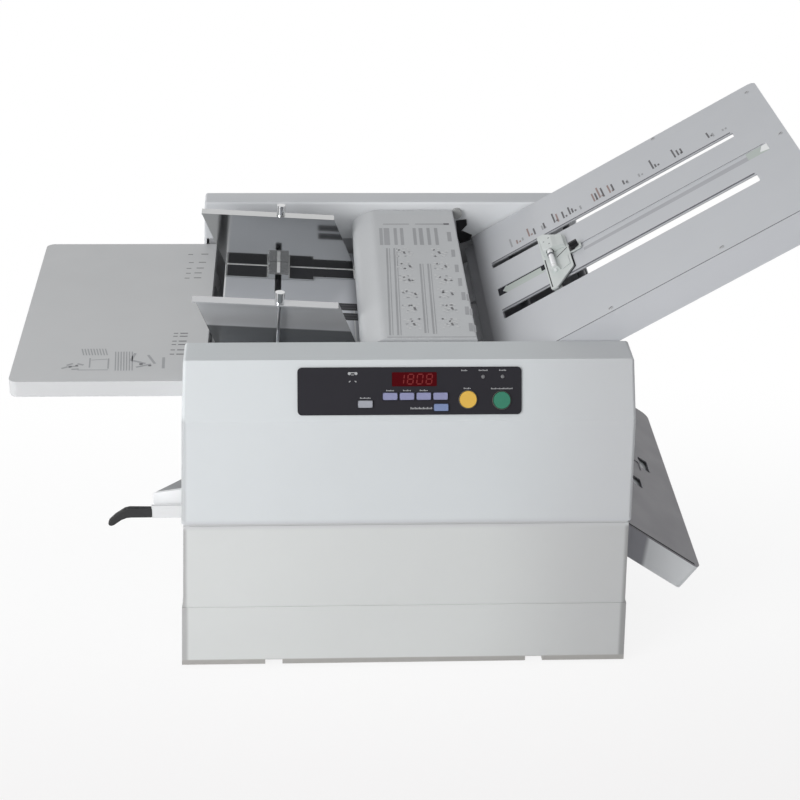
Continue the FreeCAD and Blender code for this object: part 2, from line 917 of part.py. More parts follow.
def foot_places():
    places = []
    reach = BASE_HALF - D.foot_inset_x
    for x in (-reach, reach):
        for y in (D.foot_front_y, D.rear_back_y - D.foot_back_inset):
            places.append((x, y))
    return places


def rubber_feet():
    items = []
    for number, (x, y) in enumerate(foot_places(), 1):
        foot = doc.addObject("Part::Cone", f"rubber_foot_{number}")
        bind(foot, "Radius1", D.foot_radius - 2)
        bind(foot, "Radius2", D.foot_radius)
        bind(foot, "Height", D.foot_height)
        foot.Placement = Placement(point(x, y, 0), Rotation())
        items.append(foot)
    group("rubber_feet", items)


def side_frame(label, inner_y, outer_y):
    """Steel side plate with the bearing seats."""
    piece = Piece(label)
    half = FRAME_HALF
    low = min(inner_y, outer_y, key=float)
    high = max(inner_y, outer_y, key=float)
    outline = rect(-half, BASE_TOP_Z, half, D.frame_top_z, D.frame_corner)
    piece.pad("y", [outline], low, high)
    seats = [Circle(x, z, D.bearing_radius + D.bearing_fit) for x, z in ROLLER_AXES]
    seats.append(Circle(*LIFTER_AXIS, D.bearing_radius + D.bearing_fit))
    piece.cut("y", seats, low - 1, high + 1)
    return piece


def frames():
    side_frame("front_side_frame", D.front_frame_y, FRONT_FRAME_OUT_Y)
    rear = side_frame("rear_side_frame", D.rear_frame_y, REAR_FRAME_OUT_Y)
    motor_hole = Circle(*MOTOR_AXIS, D.motor_shaft_radius * 2)
    rear.cut("y", [motor_hole], BACK_INSIDE_Y - 1, REAR_FRAME_OUT_Y + 1)


def tie_rods():
    """Rods between the side frames. One is the table's hinge, four carry the fold plates."""
    hook = D.hook_rod_radius
    thin = D.tie_radius
    rods = {
        "table_hinge_rod": (TABLE_HINGE, thin),
        "upper_hook_rod": (rod_under(UPPER_FRAME, D.rail_start + 2, D.hook_drop), hook),
        "upper_rest_rod": (rod_under(UPPER_FRAME, UPPER_REST_X, REST_DEPTH), thin),
        "lower_hook_rod": (rod_under(LOWER_FRAME, D.rail_start + 2, D.hook_drop), hook),
        "lower_rest_rod": (rod_under(LOWER_FRAME, LOWER_REST_X, REST_DEPTH), thin),
        "base_tie_rod": ((D.base_rod_inset - FRAME_HALF, D.base_rod_z), hook),
    }
    items = []
    for name, ((x, z), radius) in rods.items():
        items.append(cylinder(name, "y", radius, FRONT_INSIDE_Y, BACK_INSIDE_Y, x=x, z=z))
    group("tie_rods", items)


def side_panel(label, outer, inward, low, high):
    """Folded sheet between the covers, returned at both ends and fixed to the side frames."""
    piece = Piece(label)
    front = D.front_frame_y
    step_y = D.strip_back_y + 1
    back = D.rear_wall_y - 1
    step_z = max(low, D.panel_front_bottom_z, key=float)
    outline = [(front, step_z), (step_y, step_z), (step_y, low), (back, low), (back, high), (front, high)]
    if step_z is low:
        outline = rect(front, low, back, high)

    def span(reach):
        return sorted((outer, outer + reach * inward), key=float)

    piece.pad("x", [outline], *span(D.sheet))
    near, far = span(D.panel_return)
    piece.pad("y", [rect(near, step_z, far, high)], front, front + D.sheet)
    piece.pad("y", [rect(near, low, far, high)], back - D.sheet, back)
    middle = (low + high) / 2
    tab_near, tab_far = sorted((outer + 9 * inward, outer + D.panel_return * 1.4 * inward), key=float)
    piece.pad("y", [rect(tab_near, middle - 10, tab_far, middle + 10)], back - D.sheet, D.rear_frame_y)
    return piece


def left_panel():
    outer = -PANEL_PLANE
    high = D.left_panel_top_z
    piece = side_panel("left_panel", outer, 1, D.left_panel_bottom_z, high)
    shelf = rect(D.front_frame_y, high - D.sheet, D.rear_wall_y - 1, high)
    piece.pad("x", [shelf], outer, outer + D.panel_return)


def right_panel():
    low = LOWER_PLATE_TOP_Z + D.plate_passage
    side_panel("right_panel", PANEL_PLANE, -1, low, D.right_panel_top_z)


def exit_chute():
    """Sloping sheet that the folded paper leaves on. A horn at its front corner carries a low wall."""
    piece = Piece("exit_chute")
    sheet = D.sheet
    edge_x = -PANEL_PLANE - D.chute_reach
    tip_x = -PANEL_PLANE - D.chute_horn
    tip_z = D.chute_lip_z
    outline = [
        (tip_x, tip_z - sheet),
        (D.chute_start_x, D.chute_start_z - sheet),
        (D.chute_start_x, D.chute_start_z),
        (tip_x, tip_z),
    ]
    front = D.front_frame_y
    back = D.rear_frame_y
    wall_front = D.lever_y + D.lever_thickness + 8
    piece.pad("y", [outline], front, back)
    horn_back = wall_front + (edge_x - tip_x) * 0.75
    lever_side = rect(tip_x - 1, front - 1, D.lever_pivot_x, wall_front)
    rear_corner = D.rear_wall_y - D.side_clearance
    beyond_horn = [
        (tip_x - 1, wall_front),
        (edge_x, horn_back),
        (edge_x, rear_corner),
        (-FRAME_HALF, rear_corner),
        (-FRAME_HALF, back + 1),
        (tip_x - 1, back + 1),
    ]
    piece.cut("z", [lever_side], tip_z - 10, D.chute_start_z)
    piece.cut("z", [beyond_horn], tip_z - 10, D.chute_start_z)
    slope = (D.chute_start_z - tip_z) / (D.chute_start_x - tip_x)
    rise = slope * (edge_x - tip_x)
    wall = [
        (tip_x, tip_z - D.chute_wall),
        (edge_x, tip_z - D.chute_wall),
        (edge_x, tip_z + rise - sheet / 2),
        (tip_x, tip_z - sheet / 2),
    ]
    piece.pad("y", [wall], wall_front, wall_front + 2)


def separator_block():
    """Cross channel with the retard block just under the feed roller."""
    piece = Piece("separator_block")
    x = D.feed_roller_x
    top = D.feed_roller_z - D.feed_roller_radius - D.separator_gap
    channel_top = top - D.separator_block_height
    half = 9
    channel = rect(x - half, channel_top - 14, x + half + 4, channel_top, 2)
    piece.pad("y", [channel], FRONT_INSIDE_Y, BACK_INSIDE_Y)
    half_width = D.separator_width / 2
    block = [
        (x - half, channel_top - 1),
        (x + half, channel_top - 1),
        (x + half, top - 4, 2),
        (x + 2, top, 2),
        (x - 4, top - 1, 2),
        (x - half, top - 9),
    ]
    piece.pad("y", [block], PAPER_CENTRE_Y - half_width, PAPER_CENTRE_Y + half_width)


# ---------------------------------------------------------------- rollers, gears and drive


def bearings():
    """Flush rings in both side plates: one pair for each roller shaft and one for the lifter shaft."""
    items = []
    width = D.bearing_width
    for number, (x, z) in enumerate(ROLLER_AXES + [LIFTER_AXIS], 1):
        for side, y in (("front", FRONT_INSIDE_Y - width), ("rear", BACK_INSIDE_Y)):
            bore = D.shaft_radius + D.pivot_clearance
            name = f"bearing_{side}_{number}"
            items.append(ring(name, D.bearing_radius, bore, y, y + width, x, z))
    group("roller_bearings", items)


def shaft_end_y():
    return D.pulley_front_y + D.pulley_face + 1


def fold_roller(label, axis):
    """Shaft with three grip sections."""
    piece = Piece(label)
    front = FRONT_FRAME_OUT_Y - 4
    piece.pad("y", [Circle(0, 0, D.shaft_radius)], front, shaft_end_y())
    length = (D.roller_back_y - D.roller_front_y - D.roller_groove * 2) / 3
    for number in range(3):
        start = D.roller_front_y + (length + D.roller_groove) * number
        piece.pad("y", [Circle(0, 0, D.roller_radius)], start, start + length)
    piece.place(Placement(point(axis[0], 0, axis[1]), Rotation()))


def tyre_middle(side):
    """Middle of a feed tyre along its shaft, in front of (-1) or behind (1) the paper's centre line."""
    return PAPER_CENTRE_Y + (D.feed_tyre_width + D.feed_tyre_gap) / 2 * side


def feed_roller():
    """Shaft with two rubber tyres either side of the paper's centre line."""
    piece = Piece("feed_roller")
    front = FRONT_FRAME_OUT_Y - 4
    piece.pad("y", [Circle(0, 0, D.shaft_radius)], front, shaft_end_y())
    for side in (-1, 1):
        middle = tyre_middle(side)
        half = D.feed_tyre_width / 2
        piece.pad("y", [Circle(0, 0, D.feed_roller_radius)], middle - half, middle + half)
    hub_half = D.feed_hub_length / 2
    hub = Circle(0, 0, D.feed_hub_radius)
    piece.pad("y", [hub], PAPER_CENTRE_Y - hub_half, PAPER_CENTRE_Y + hub_half)
    piece.place(Placement(point(FEED_AXIS[0], 0, FEED_AXIS[1]), Rotation()))


def gear_phase(angle):
    """How far a gear is turned so that it meshes with the main gear, which has a tooth on +X."""
    pitch = 360 / D.gear_teeth.value
    offset = (-angle.value) % pitch
    return angle.value + 180 - offset + pitch / 2


def gear(label, axis, phase, pulley_radius=None):
    """Spur gear with straight-flanked teeth, moulded in one with its belt pulley where it has one."""
    piece = Piece(label)
    front = D.gear_front_y
    back = front + D.gear_face
    root = D.gear_root_radius
    piece.pad("y", [Circle(0, 0, root)], front, back)
    if pulley_radius is not None:
        piece.pad("y", [Circle(0, 0, D.shaft_radius + 3)], back - 1, D.pulley_front_y + 1)
        piece.pad("y", [Circle(0, 0, pulley_radius)], D.pulley_front_y, D.pulley_front_y + D.pulley_face)
    bore = Circle(0, 0, D.shaft_radius)
    piece.cut("y", [bore], front - 1, shaft_end_y())
    tooth_pitch = math.pi * D.gear_pitch / D.gear_teeth
    foot = tooth_pitch * 0.32
    tip = tooth_pitch * 0.12
    tooth = [(root - 0.6, -foot), (D.gear_tip_radius, -tip), (D.gear_tip_radius, tip), (root - 0.6, foot)]
    feature = piece.pad("y", [tooth], front, back)
    piece.polar(feature, "y", D.gear_teeth)
    turned = Rotation(Vector(0, 1, 0), -phase)
    piece.place(Placement(point(axis[0], 0, axis[1]), turned))


def motor():
    piece = Piece("drive_motor")
    back = BACK_INSIDE_Y
    plate = D.motor_plate
    piece.pad("y", [Circle(0, 0, D.motor_radius)], back - D.motor_length, back - plate)
    half = D.motor_radius + D.motor_plate_margin
    piece.pad("y", [rect(-half, -half, half, half, 8)], back - plate, back)
    piece.pad("y", [Circle(0, 0, D.motor_radius * 0.6)], back - D.motor_length - 6, back - D.motor_length + 1)
    piece.cut("y", [Circle(0, 0, D.motor_shaft_radius + D.pivot_clearance)], back - 20, back + 1)
    piece.place(Placement(point(D.motor_x, 0, D.motor_z), Rotation()))


def motor_pulley():
    piece = Piece("motor_pulley")
    piece.pad("y", [Circle(0, 0, D.motor_shaft_radius)], BACK_INSIDE_Y - 18, shaft_end_y())
    piece.pad("y", [Circle(0, 0, D.motor_pulley_radius)], D.pulley_front_y, D.pulley_front_y + D.pulley_face)
    rim = D.motor_pulley_radius + 1.6
    piece.pad("y", [Circle(0, 0, rim)], D.pulley_front_y - 2, D.pulley_front_y)
    piece.place(Placement(point(D.motor_x, 0, D.motor_z), Rotation()))


def belt_loop(first, first_radius, second, second_radius):
    """Closed wire round two circles: their outer tangents joined by arcs."""
    along = second - first
    base = math.atan2(along.z, along.x)
    lean = math.acos((first_radius - second_radius) / along.Length)

    def on(centre, radius, angle):
        return centre + Vector(math.cos(angle), 0, math.sin(angle)) * radius

    upper_a = on(first, first_radius, base + lean)
    upper_b = on(second, second_radius, base + lean)
    lower_a = on(first, first_radius, base - lean)
    lower_b = on(second, second_radius, base - lean)
    far_a = on(first, first_radius, base + math.pi)
    far_b = on(second, second_radius, base)
    edges = [
        Part.LineSegment(upper_a, upper_b).toShape(),
        Part.Arc(upper_b, far_b, lower_b).toShape(),
        Part.LineSegment(lower_b, lower_a).toShape(),
        Part.Arc(lower_a, far_a, upper_a).toShape(),
    ]
    return Part.Wire(edges)


def belt(label, first, first_radius, second, second_radius):
    """A flat loop a hair outside its two pulleys."""
    start = point(first[0], 0, first[1])
    end = point(second[0], 0, second[1])
    inside = D.belt_gap.value
    outside = inside + D.belt_thickness.value
    width = (D.pulley_face - 1).value
    solids = []
    for extra in (outside, inside):
        loop = belt_loop(start, first_radius.value + extra, end, second_radius.value + extra)
        solids.append(Part.Face(loop).extrude(Vector(0, width, 0)))
    solid = solids[0].cut(solids[1])
    feature = doc.addObject("Part::Feature", label)
    feature.Shape = solid
    feature.Placement = Placement(Vector(0, (D.pulley_front_y + 0.5).value, 0), Rotation())
    subparts.append(feature)


def drive():
    for label, axis in (
        ("fold_roller_main", MAIN_AXIS),
        ("fold_roller_upper", UPPER_AXIS),
        ("fold_roller_right", RIGHT_AXIS),
        ("fold_roller_lower", LOWER_AXIS),
    ):
        fold_roller(label, axis)
    feed_roller()
    gear("fold_gear_main", MAIN_AXIS, 0, D.main_pulley_radius)
    gear("fold_gear_upper", UPPER_AXIS, gear_phase(D.upper_roller_angle), D.feed_pulley_radius)
    gear("fold_gear_right", RIGHT_AXIS, gear_phase(D.right_roller_angle))
    gear("fold_gear_lower", LOWER_AXIS, gear_phase(D.lower_roller_angle))
    feed_pulley()
    bearings()
    motor()
    motor_pulley()
    belt("drive_belt", MAIN_AXIS, D.main_pulley_radius, MOTOR_AXIS, D.motor_pulley_radius)
    belt("feed_belt", UPPER_AXIS, D.feed_pulley_radius, FEED_AXIS, D.feed_pulley_radius)


def feed_pulley():
    piece = Piece("feed_pulley")
    front = D.pulley_front_y
    piece.pad("y", [Circle(0, 0, D.feed_pulley_radius)], front, front + D.pulley_face)
    piece.pad("y", [Circle(0, 0, D.shaft_radius + 2.5)], front - 6, front)
    piece.cut("y", [Circle(0, 0, D.shaft_radius)], front - 7, shaft_end_y())
    piece.place(Placement(point(FEED_AXIS[0], 0, FEED_AXIS[1]), Rotation()))


# ---------------------------------------------------------------- tray, table and guides


def outer_tray():
    piece = Piece("outer_tray")
    front = D.strip_back_y + D.side_clearance
    back = D.rear_wall_y - D.side_clearance
    left = TRAY_RIGHT - D.tray_length
    right = TRAY_RIGHT
    top = D.tray_top_z
    bottom = top - D.tray_depth + D.guide_lift
    corner = D.tray_corner
    outline = [(left, front, corner), (right, front), (right, back), (left, back, corner)]
    piece.pad("z", [outline], bottom, top)
    sheet = D.sheet
    inner = corner - sheet
    hollow = [
        (left + sheet, front + sheet, inner),
        (right - sheet, front + sheet),
        (right - sheet, back - sheet),
        (left + sheet, back - sheet, inner),
    ]
    piece.cut("z", [hollow], bottom - 1, top - sheet)
    near = D.panel_return - PANEL_PLANE + D.ear_gap
    slant = tangent(D.ear_lean)
    low = bottom - D.ear_depth
    high = top - sheet / 2
    foot = near + D.ear_depth * slant
    head = near - (high - bottom) * slant
    thickness = sheet / cosine(D.ear_lean)
    ear = [(foot, low), (foot + thickness, low), (head + thickness, high), (head, high)]
    for start in (front + D.ear_inset, back - D.ear_inset - D.ear_width):
        piece.pad("y", [ear], start, start + D.ear_width)


def paper_table():
    piece = Piece("paper_table")
    front = D.front_frame_y + 10
    back = D.rear_frame_y - 8
    length = TABLE_LENGTH
    sheet = D.sheet
    piece.pad("z", [rect(0, front, length, back)], -sheet, 0)
    drop = D.table_flange
    cheek = [(0, -sheet / 2), (length, -sheet / 2), (length, -drop / 2, 3), (40, -drop, 3), (0, -drop, 5)]
    for y in (front, back - sheet):
        piece.pad("y", [cheek], y, y + sheet)
    piece.pad("x", [rect(front, -D.table_hinge_drop / 2, back, -sheet / 2)], 0, sheet)
    half = D.slot_width / 2
    slots = [
        rect(D.slot_x - half, D.front_slot_start, D.slot_x + half, D.front_slot_end, half - 0.1),
        rect(D.slot_x - half, D.rear_slot_start, D.slot_x + half, D.rear_slot_end, half - 0.1),
    ]
    piece.cut("z", slots, -sheet - 1, 1)
    recesses = []
    for pad_front in pad_fronts():
        start = length - D.pad_margin - D.pad_length
        recesses.append(rect(start, pad_front, start + D.pad_length, pad_front + D.feed_tyre_width - 4))
    piece.cut("z", recesses, D.pad_stand - D.pad_height, 1)
    bore = Circle(D.table_hinge_x, -D.table_hinge_drop, D.tie_radius + D.pivot_clearance)
    piece.cut("y", [bore], front - 1, back + 1)
    piece.place(TABLE_FRAME)


def pad_fronts():
    """The front edges of the two pads, which lie under the feed roller's tyres."""
    fronts = []
    for side in (-1, 1):
        fronts.append(tyre_middle(side) - D.feed_tyre_width / 2 + 2)
    return fronts


def friction_pads():
    """Two cork strips let into the table's delivery end."""
    items = []
    for number, front in enumerate(pad_fronts(), 1):
        start = TABLE_LENGTH - D.pad_margin - D.pad_length
        corner = point(start, front, D.pad_stand - D.pad_height)
        place = TABLE_FRAME.multiply(Placement(corner, Rotation()))
        items.append(box(f"friction_pad_{number}", D.pad_length, D.feed_tyre_width - 4, D.pad_height, place))
    group("friction_pads", items)


def side_guide(label, wall_y, outward):
    """Leaning-ended wall with a flange on top, a foot under the paper and a tongue in the table's slot."""
    piece = Piece(label)
    sheet = D.sheet
    lift = D.guide_lift
    height = D.guide_height
    left = D.guide_foot_left
    right = TABLE_LENGTH - D.guide_foot_end
    top_right = TABLE_LENGTH - D.guide_top_end
    wall = [(left, lift), (right, lift), (top_right, height), (D.guide_top_left, height)]

    def span(start, size):
        """From a place to another further out (or in, for a negative size), in rising order."""
        ends = (wall_y + start * outward, wall_y + (start + size) * outward)
        return sorted(ends, key=float)

    piece.pad("y", [wall], *span(0, sheet))
    piece.pad("y", [rect(D.guide_top_left, height - sheet, top_right, height)], *span(0, D.guide_flange))
    narrow = D.guide_foot_narrow
    piece.pad("y", [rect(left, lift, right, lift + sheet)], *span(-narrow, narrow + 0.5))
    step = D.guide_foot_step
    piece.pad("y", [rect(left, lift, step, lift + sheet)], *span(-D.guide_foot, D.guide_foot + 0.5))
    stem_y = D.guide_flange / 2
    half = D.slot_width / 2 - D.guide_lift / 3
    block_half = D.guide_block_half
    block = rect(D.slot_x - block_half, lift, D.slot_x + block_half, lift + D.guide_block_height)
    piece.pad("y", [block], *span(-D.guide_foot - 1, D.guide_foot / 3))
    shelf = rect(D.slot_x - block_half + 1, lift, D.slot_x + block_half - 1, lift + 5)
    piece.pad("y", [shelf], *span(sheet / 2, D.guide_flange - sheet / 2))
    tongue = rect(D.slot_x - half, -D.sheet, D.slot_x + half, lift + 1)
    piece.pad("y", [tongue], *span(stem_y + 3, 4))
    bore = Circle(D.slot_x, wall_y + stem_y * outward, D.stem_radius + D.pivot_clearance)
    piece.cut("z", [bore], lift - 1, height + 1)
    piece.place(TABLE_FRAME)


def guide_knob(label, wall_y, outward):
    """Clamping screw: head on the flange, stem down through the slot to its washer."""
    piece = Piece(label)
    base = D.guide_height + 0.2
    piece.pad("z", [Circle(0, 0, D.knob_radius)], base, base + D.knob_height)
    washer_top = -D.sheet - 0.3
    piece.pad("z", [Circle(0, 0, D.stem_radius)], washer_top - 3, base + 1)
    piece.pad("z", [Circle(0, 0, D.slot_width * 0.8)], washer_top - 2, washer_top)
    local = Placement(point(D.slot_x, wall_y + D.guide_flange / 2 * outward, 0), Rotation())
    piece.place(TABLE_FRAME.multiply(local))


def guides():
    for side, wall_y, outward in (("front", D.front_guide_y, -1), ("rear", D.rear_guide_y, 1)):
        side_guide(f"{side}_side_guide", wall_y, outward)
        guide_knob(f"{side}_guide_knob", wall_y, outward)


# ---------------------------------------------------------------- table lifting lever


def lever_arm():
    """Cranked flat bar from the lifter shaft out through the left side."""
    piece = Piece("lever_arm")
    x, z = LIFTER_AXIS
    half = D.lever_bar_height / 2
    bar = D.lever_bar_z
    knee = D.lever_knee_inset - PANEL_PLANE
    end = -PANEL_PLANE - D.lever_bar_reach
    outline = [
        (x - 10, z + 10, 9.9),
        (x - 10, z - 8, 12),
        (knee, bar + half, 10),
        (end - 20, bar + half),
        (end - 20, bar - half),
        (knee + 12, bar - half, 18),
        (x + 10, z - 14, 12),
        (x + 10, z + 10, 9.9),
    ]
    y = D.lever_y
    piece.pad("y", [outline], y, y + D.lever_thickness)
    piece.cut("y", [Circle(x, z, D.shaft_radius)], y - 1, y + D.lever_thickness + 1)


def lever_grip():
    """Moulded handle sleeved on the bar's end and turned down at its tip."""
    piece = Piece("lever_grip")
    half = D.lever_bar_height / 2 + D.grip_wall
    bar = D.lever_bar_z
    start = -PANEL_PLANE - D.lever_bar_reach
    bend = start - D.grip_straight
    tip = start - D.grip_tip_reach
    tip_top = bar - D.grip_drop
    outline = [
        (start, bar - half, 1),
        (start, bar + half, 1),
        (bend, bar + half - 1, 16),
        (tip, tip_top, 5),
        (tip + 1, tip_top - D.grip_thickness, 3),
        (bend - 2, bar - half, 14),
    ]
    middle = D.lever_y + D.lever_thickness / 2
    half_thickness = D.grip_thickness / 2
    piece.pad("y", [outline], middle - half_thickness, middle + half_thickness)
    bar_half = D.lever_bar_height / 2
    socket = rect(start - 20, bar - bar_half, start + 1, bar + bar_half)
    piece.cut("y", [socket], D.lever_y, D.lever_y + D.lever_thickness)


def lifter_shaft():
    """Cross shaft with two fingers under the table's delivery end."""
    piece = Piece("lifter_shaft")
    piece.pad("y", [Circle(0, 0, D.shaft_radius)], FRONT_FRAME_OUT_Y - 1, REAR_FRAME_OUT_Y + 1)
    tip_x = D.lifter_reach
    under = TABLE_FRAME.inverse().multVec(point(D.lever_pivot_x + tip_x, 0, 0))
    surface = TABLE_FRAME.multVec(Vector(under.x, 0, -D.sheet.value))
    radius = D.lifter_radius
    tip_z = Size(surface.z) - D.lifter_gap - radius - D.lever_pivot_z
    finger = [
        (-7, -6, 5),
        (7, -8, 4),
        (tip_x + radius, tip_z - radius, radius - 0.2),
        (tip_x + radius, tip_z + radius, radius - 0.2),
        (tip_x - radius, tip_z + radius, radius - 0.2),
        (0, 10, 6),
    ]
    for y in (D.front_slot_start - 4, D.rear_slot_end + 4):
        piece.pad("y", [finger], y, y + 6)
    piece.place(Placement(point(LIFTER_AXIS[0], 0, LIFTER_AXIS[1]), Rotation()))


# ---------------------------------------------------------------- centre cover


def centre_outline(inset):
    ridge_radius = 16
    return [
        (D.centre_left_x + inset, D.centre_bottom_z),
        (D.centre_left_x + inset, D.centre_left_z + 14, 14),
        (D.centre_ridge_x + inset / 4, D.centre_ridge_z + 1 - inset, ridge_radius),
        (D.centre_right_x - inset, D.centre_right_z - inset, 2),
        (D.centre_right_x - inset, D.centre_bottom_z),
    ]


def centre_cover():
    """Hinged lid over the rollers: a rolled edge on the feed side, then a level top to the fold plate."""
    piece = Piece("centre_cover")
    front = D.centre_front_y
    back = D.centre_back_y
    wall = D.centre_wall
    piece.pad("y", [centre_outline(Size(0))], front, back)
    hollow = [tuple([p[0], p[1] - 1, 0]) if i in (0, 4) else p for i, p in enumerate(centre_outline(wall))]
    piece.cut("y", [hollow], front + wall, back - wall)
    arch = D.shaft_radius + 2.5
    x, z = FEED_AXIS
    for y in (front, back - wall):
        piece.cut("y", [Circle(x, z, arch)], y - 0.5, y + wall + 0.5)
        piece.cut("y", [rect(x - arch, D.centre_bottom_z - 1, x + arch, z)], y - 0.5, y + wall + 0.5)
    pin = Circle(CENTRE_PIN_X, D.centre_pin_z, D.centre_pin_radius)
    piece.pad("y", [pin], D.strip_back_y - D.cover_wall + 0.3, front + wall)
    piece.pad("y", [pin], back - wall, D.rear_wall_y + D.cover_wall - 0.3)


# ---------------------------------------------------------------- fold plates


def plate_slots(end, widening=0):
    """The two long slots of the paper stop, wider in the lower skin so that the fingers never touch it."""
    slots = []
    for y, width in ((D.front_slot_y, D.front_slot_width), (D.rear_slot_y, D.rear_slot_width)):
        half = width / 2
        slots.append(rect(D.plate_slot_start, y - half, end, y + half + widening * 2, D.slot_corner))
    return slots


def plate_sheet(label, length, slot_end, frame):
    """Upper skin of a fold plate, with the two slots of the paper stop and a guide groove between them."""
    piece = Piece(label)
    front = D.plate_front_y
    back = D.plate_back_y
    corner = D.plate_corner
    start = D.skin_start
    outline = [(start, front), (length, front, corner), (length, back, corner), (start, back)]
    sheet = D.sheet
    piece.pad("z", [outline], -sheet, 0)
    piece.cut("z", plate_slots(slot_end), -sheet - 1, 1)
    half = D.groove_width / 2
    groove_end = min(slot_end + D.groove_end_extra, length - D.plate_corner * 2, key=float)
    groove = rect(D.plate_slot_start, D.groove_y - half, groove_end, D.groove_y + half, D.slot_corner)
    piece.cut("z", [groove], -D.groove_depth, 1)
    piece.place(frame)
    return piece


def sight_windows(piece):
    """Two short windows that show where a sheet stands in the lower plate."""
    windows = []
    for y, width, end in (
        (D.sight_front_y, D.sight_front_width, D.sight_front_end),
        (D.sight_rear_y, D.sight_rear_width, D.sight_rear_end),
    ):
        windows.append(rect(end - D.sight_length, y, end, y + width, D.slot_corner))
    piece.cut("z", windows, -D.sheet - 1, 1)


def plate_frame(label, length, slot_end, frame):
    """Box rails on three sides with the lower skin between them, hooked over one rod, resting on another."""
    piece = Piece(label)
    front = D.plate_front_y
    back = D.plate_back_y
    corner = D.plate_corner
    start = D.rail_start
    depth = D.plate_depth
    top = -D.sheet
    skin_top = top - D.paper_gap
    rail = D.rail_width
    outline = [(start, front), (length, front, corner), (length, back, corner), (start, back)]
    piece.pad("z", [outline], -depth, top)
    well = rect(start - 1, front + rail, length - rail, back - rail)
    piece.cut("z", [well], -depth - 1, top + 1)
    lower = rect(2, front + rail - 1, length - rail + 1, back - rail + 1)
    piece.pad("z", [lower], skin_top - D.sheet, skin_top)
    piece.cut("z", plate_slots(slot_end, D.slot_widening), skin_top - D.sheet - 1, skin_top + 1)
    hook = D.hook_rod_radius + D.pivot_clearance
    hook_x = start + 2
    piece.cut("y", [Circle(hook_x, -D.hook_drop, hook)], front - 1, back + 1)
    mouth = rect(start - 1, -D.hook_drop - hook, hook_x, -D.hook_drop + hook)
    piece.cut("y", [mouth], front - 1, back + 1)
    chamfer = [(start - 1, -depth - 1), (start + 18, -depth - 1), (start - 1, -depth + 3)]
    piece.cut("y", [chamfer], front - 1, back + 1)
    piece.place(frame)


def paper_stop(label, near_x, frame, with_bar):
    """Carriage on the upper skin whose fingers reach through the slots into the paper gap."""
    piece = Piece(label)
    lift = D.stop_lift
    top = lift + D.stop_sheet
    far_x = near_x + D.stop_length
    centre = STOP_CENTRE_Y
    outline = [
        (near_x, centre - D.stop_near_half, 3),
        (near_x + 8, centre - D.stop_near_half, 3),
        (far_x, centre - D.stop_far_half, 6),
        (far_x, centre + D.stop_far_half, 6),
        (near_x + 8, centre + D.stop_near_half, 3),
        (near_x, centre + D.stop_near_half, 3),
    ]
    piece.pad("z", [outline], lift, top)
    tab = rect(far_x - 4, centre - 9, far_x + 16, centre + 9, 3)
    piece.pad("z", [tab], lift, top)
    depth = -D.sheet - D.paper_gap - D.sheet - 1
    fingers = []
    for y in (D.front_slot_y, D.rear_slot_y):
        half = D.finger_width / 2
        fingers.append(rect(near_x + 2, y - half, near_x + 2 + D.finger_length, y + half))
    piece.pad("z", fingers, depth, top)
    lock_x = far_x + 8
    piece.cut("z", [Circle(lock_x, centre, D.stem_radius + D.pivot_clearance)], lift - 1, top + 1)
    if with_bar:
        bar_x = near_x + 12
        bore = Circle(bar_x, D.bar_lift, D.bar_radius * 0.6 + D.pivot_clearance)
        for side in (-1, 1):
            middle = centre + (D.bar_length / 2 + D.ear_thickness) * side
            half = D.bar_radius + 1
            ear_top = D.bar_lift + D.bar_radius
            ear = [
                (bar_x - half - 2, lift),
                (bar_x + half + 2, lift),
                (bar_x + half, ear_top, 3),
                (bar_x - half, ear_top, 3),
            ]
            piece.pad("y", [ear], middle - D.ear_thickness / 2, middle + D.ear_thickness / 2)
        piece.cut("y", [bore], centre - D.bar_length, centre + D.bar_length)
    piece.place(frame)


def stop_bar():
    """Bar turned by the fingers to trim the stop."""
    piece = Piece("upper_stop_bar")
    half = D.bar_length / 2 + 0.8
    piece.pad("y", [Circle(0, 0, D.bar_radius)], -half, half)
    piece.pad("y", [Circle(0, 0, D.bar_radius * 0.6)], -half - 5, half + 5)
    centre = STOP_CENTRE_Y
    local = Placement(point(D.upper_stop_x + 12, centre, D.bar_lift), Rotation())
    piece.place(UPPER_FRAME.multiply(local))


def stop_lock():
    piece = Piece("upper_stop_knob")
    base = D.stop_lift + D.stop_sheet + 0.2
    piece.pad("z", [Circle(0, 0, D.lock_radius)], base, base + D.lock_height)
    flat = rect(-D.lock_radius - 1, D.lock_radius * 0.35, D.lock_radius + 1, D.lock_radius + 1)
    mirrored = rect(-D.lock_radius - 1, -D.lock_radius - 1, D.lock_radius + 1, -D.lock_radius * 0.35)
    piece.cut("z", [flat, mirrored], base + 3, base + D.lock_height + 1)
    piece.pad("z", [Circle(0, 0, D.stem_radius)], -D.groove_depth / 2, base + 1)
    centre = STOP_CENTRE_Y
    local = Placement(point(D.upper_stop_x + D.stop_length + 8, centre, 0), Rotation())
    piece.place(UPPER_FRAME.multiply(local))


def fold_plates():
    plate_sheet("upper_plate_sheet", D.upper_length, D.upper_slot_end, UPPER_FRAME)
    plate_frame("upper_plate_frame", D.upper_length, D.upper_slot_end, UPPER_FRAME)
    lower = plate_sheet("lower_plate_sheet", D.lower_length, D.lower_slot_end, LOWER_FRAME)
    sight_windows(lower)
    plate_frame("lower_plate_frame", D.lower_length, D.lower_slot_end, LOWER_FRAME)
    paper_stop("upper_stop", D.upper_stop_x, UPPER_FRAME, True)
    paper_stop("lower_stop", D.lower_stop_x, LOWER_FRAME, False)
    stop_bar()
    stop_lock()


# ---------------------------------------------------------------- control panel

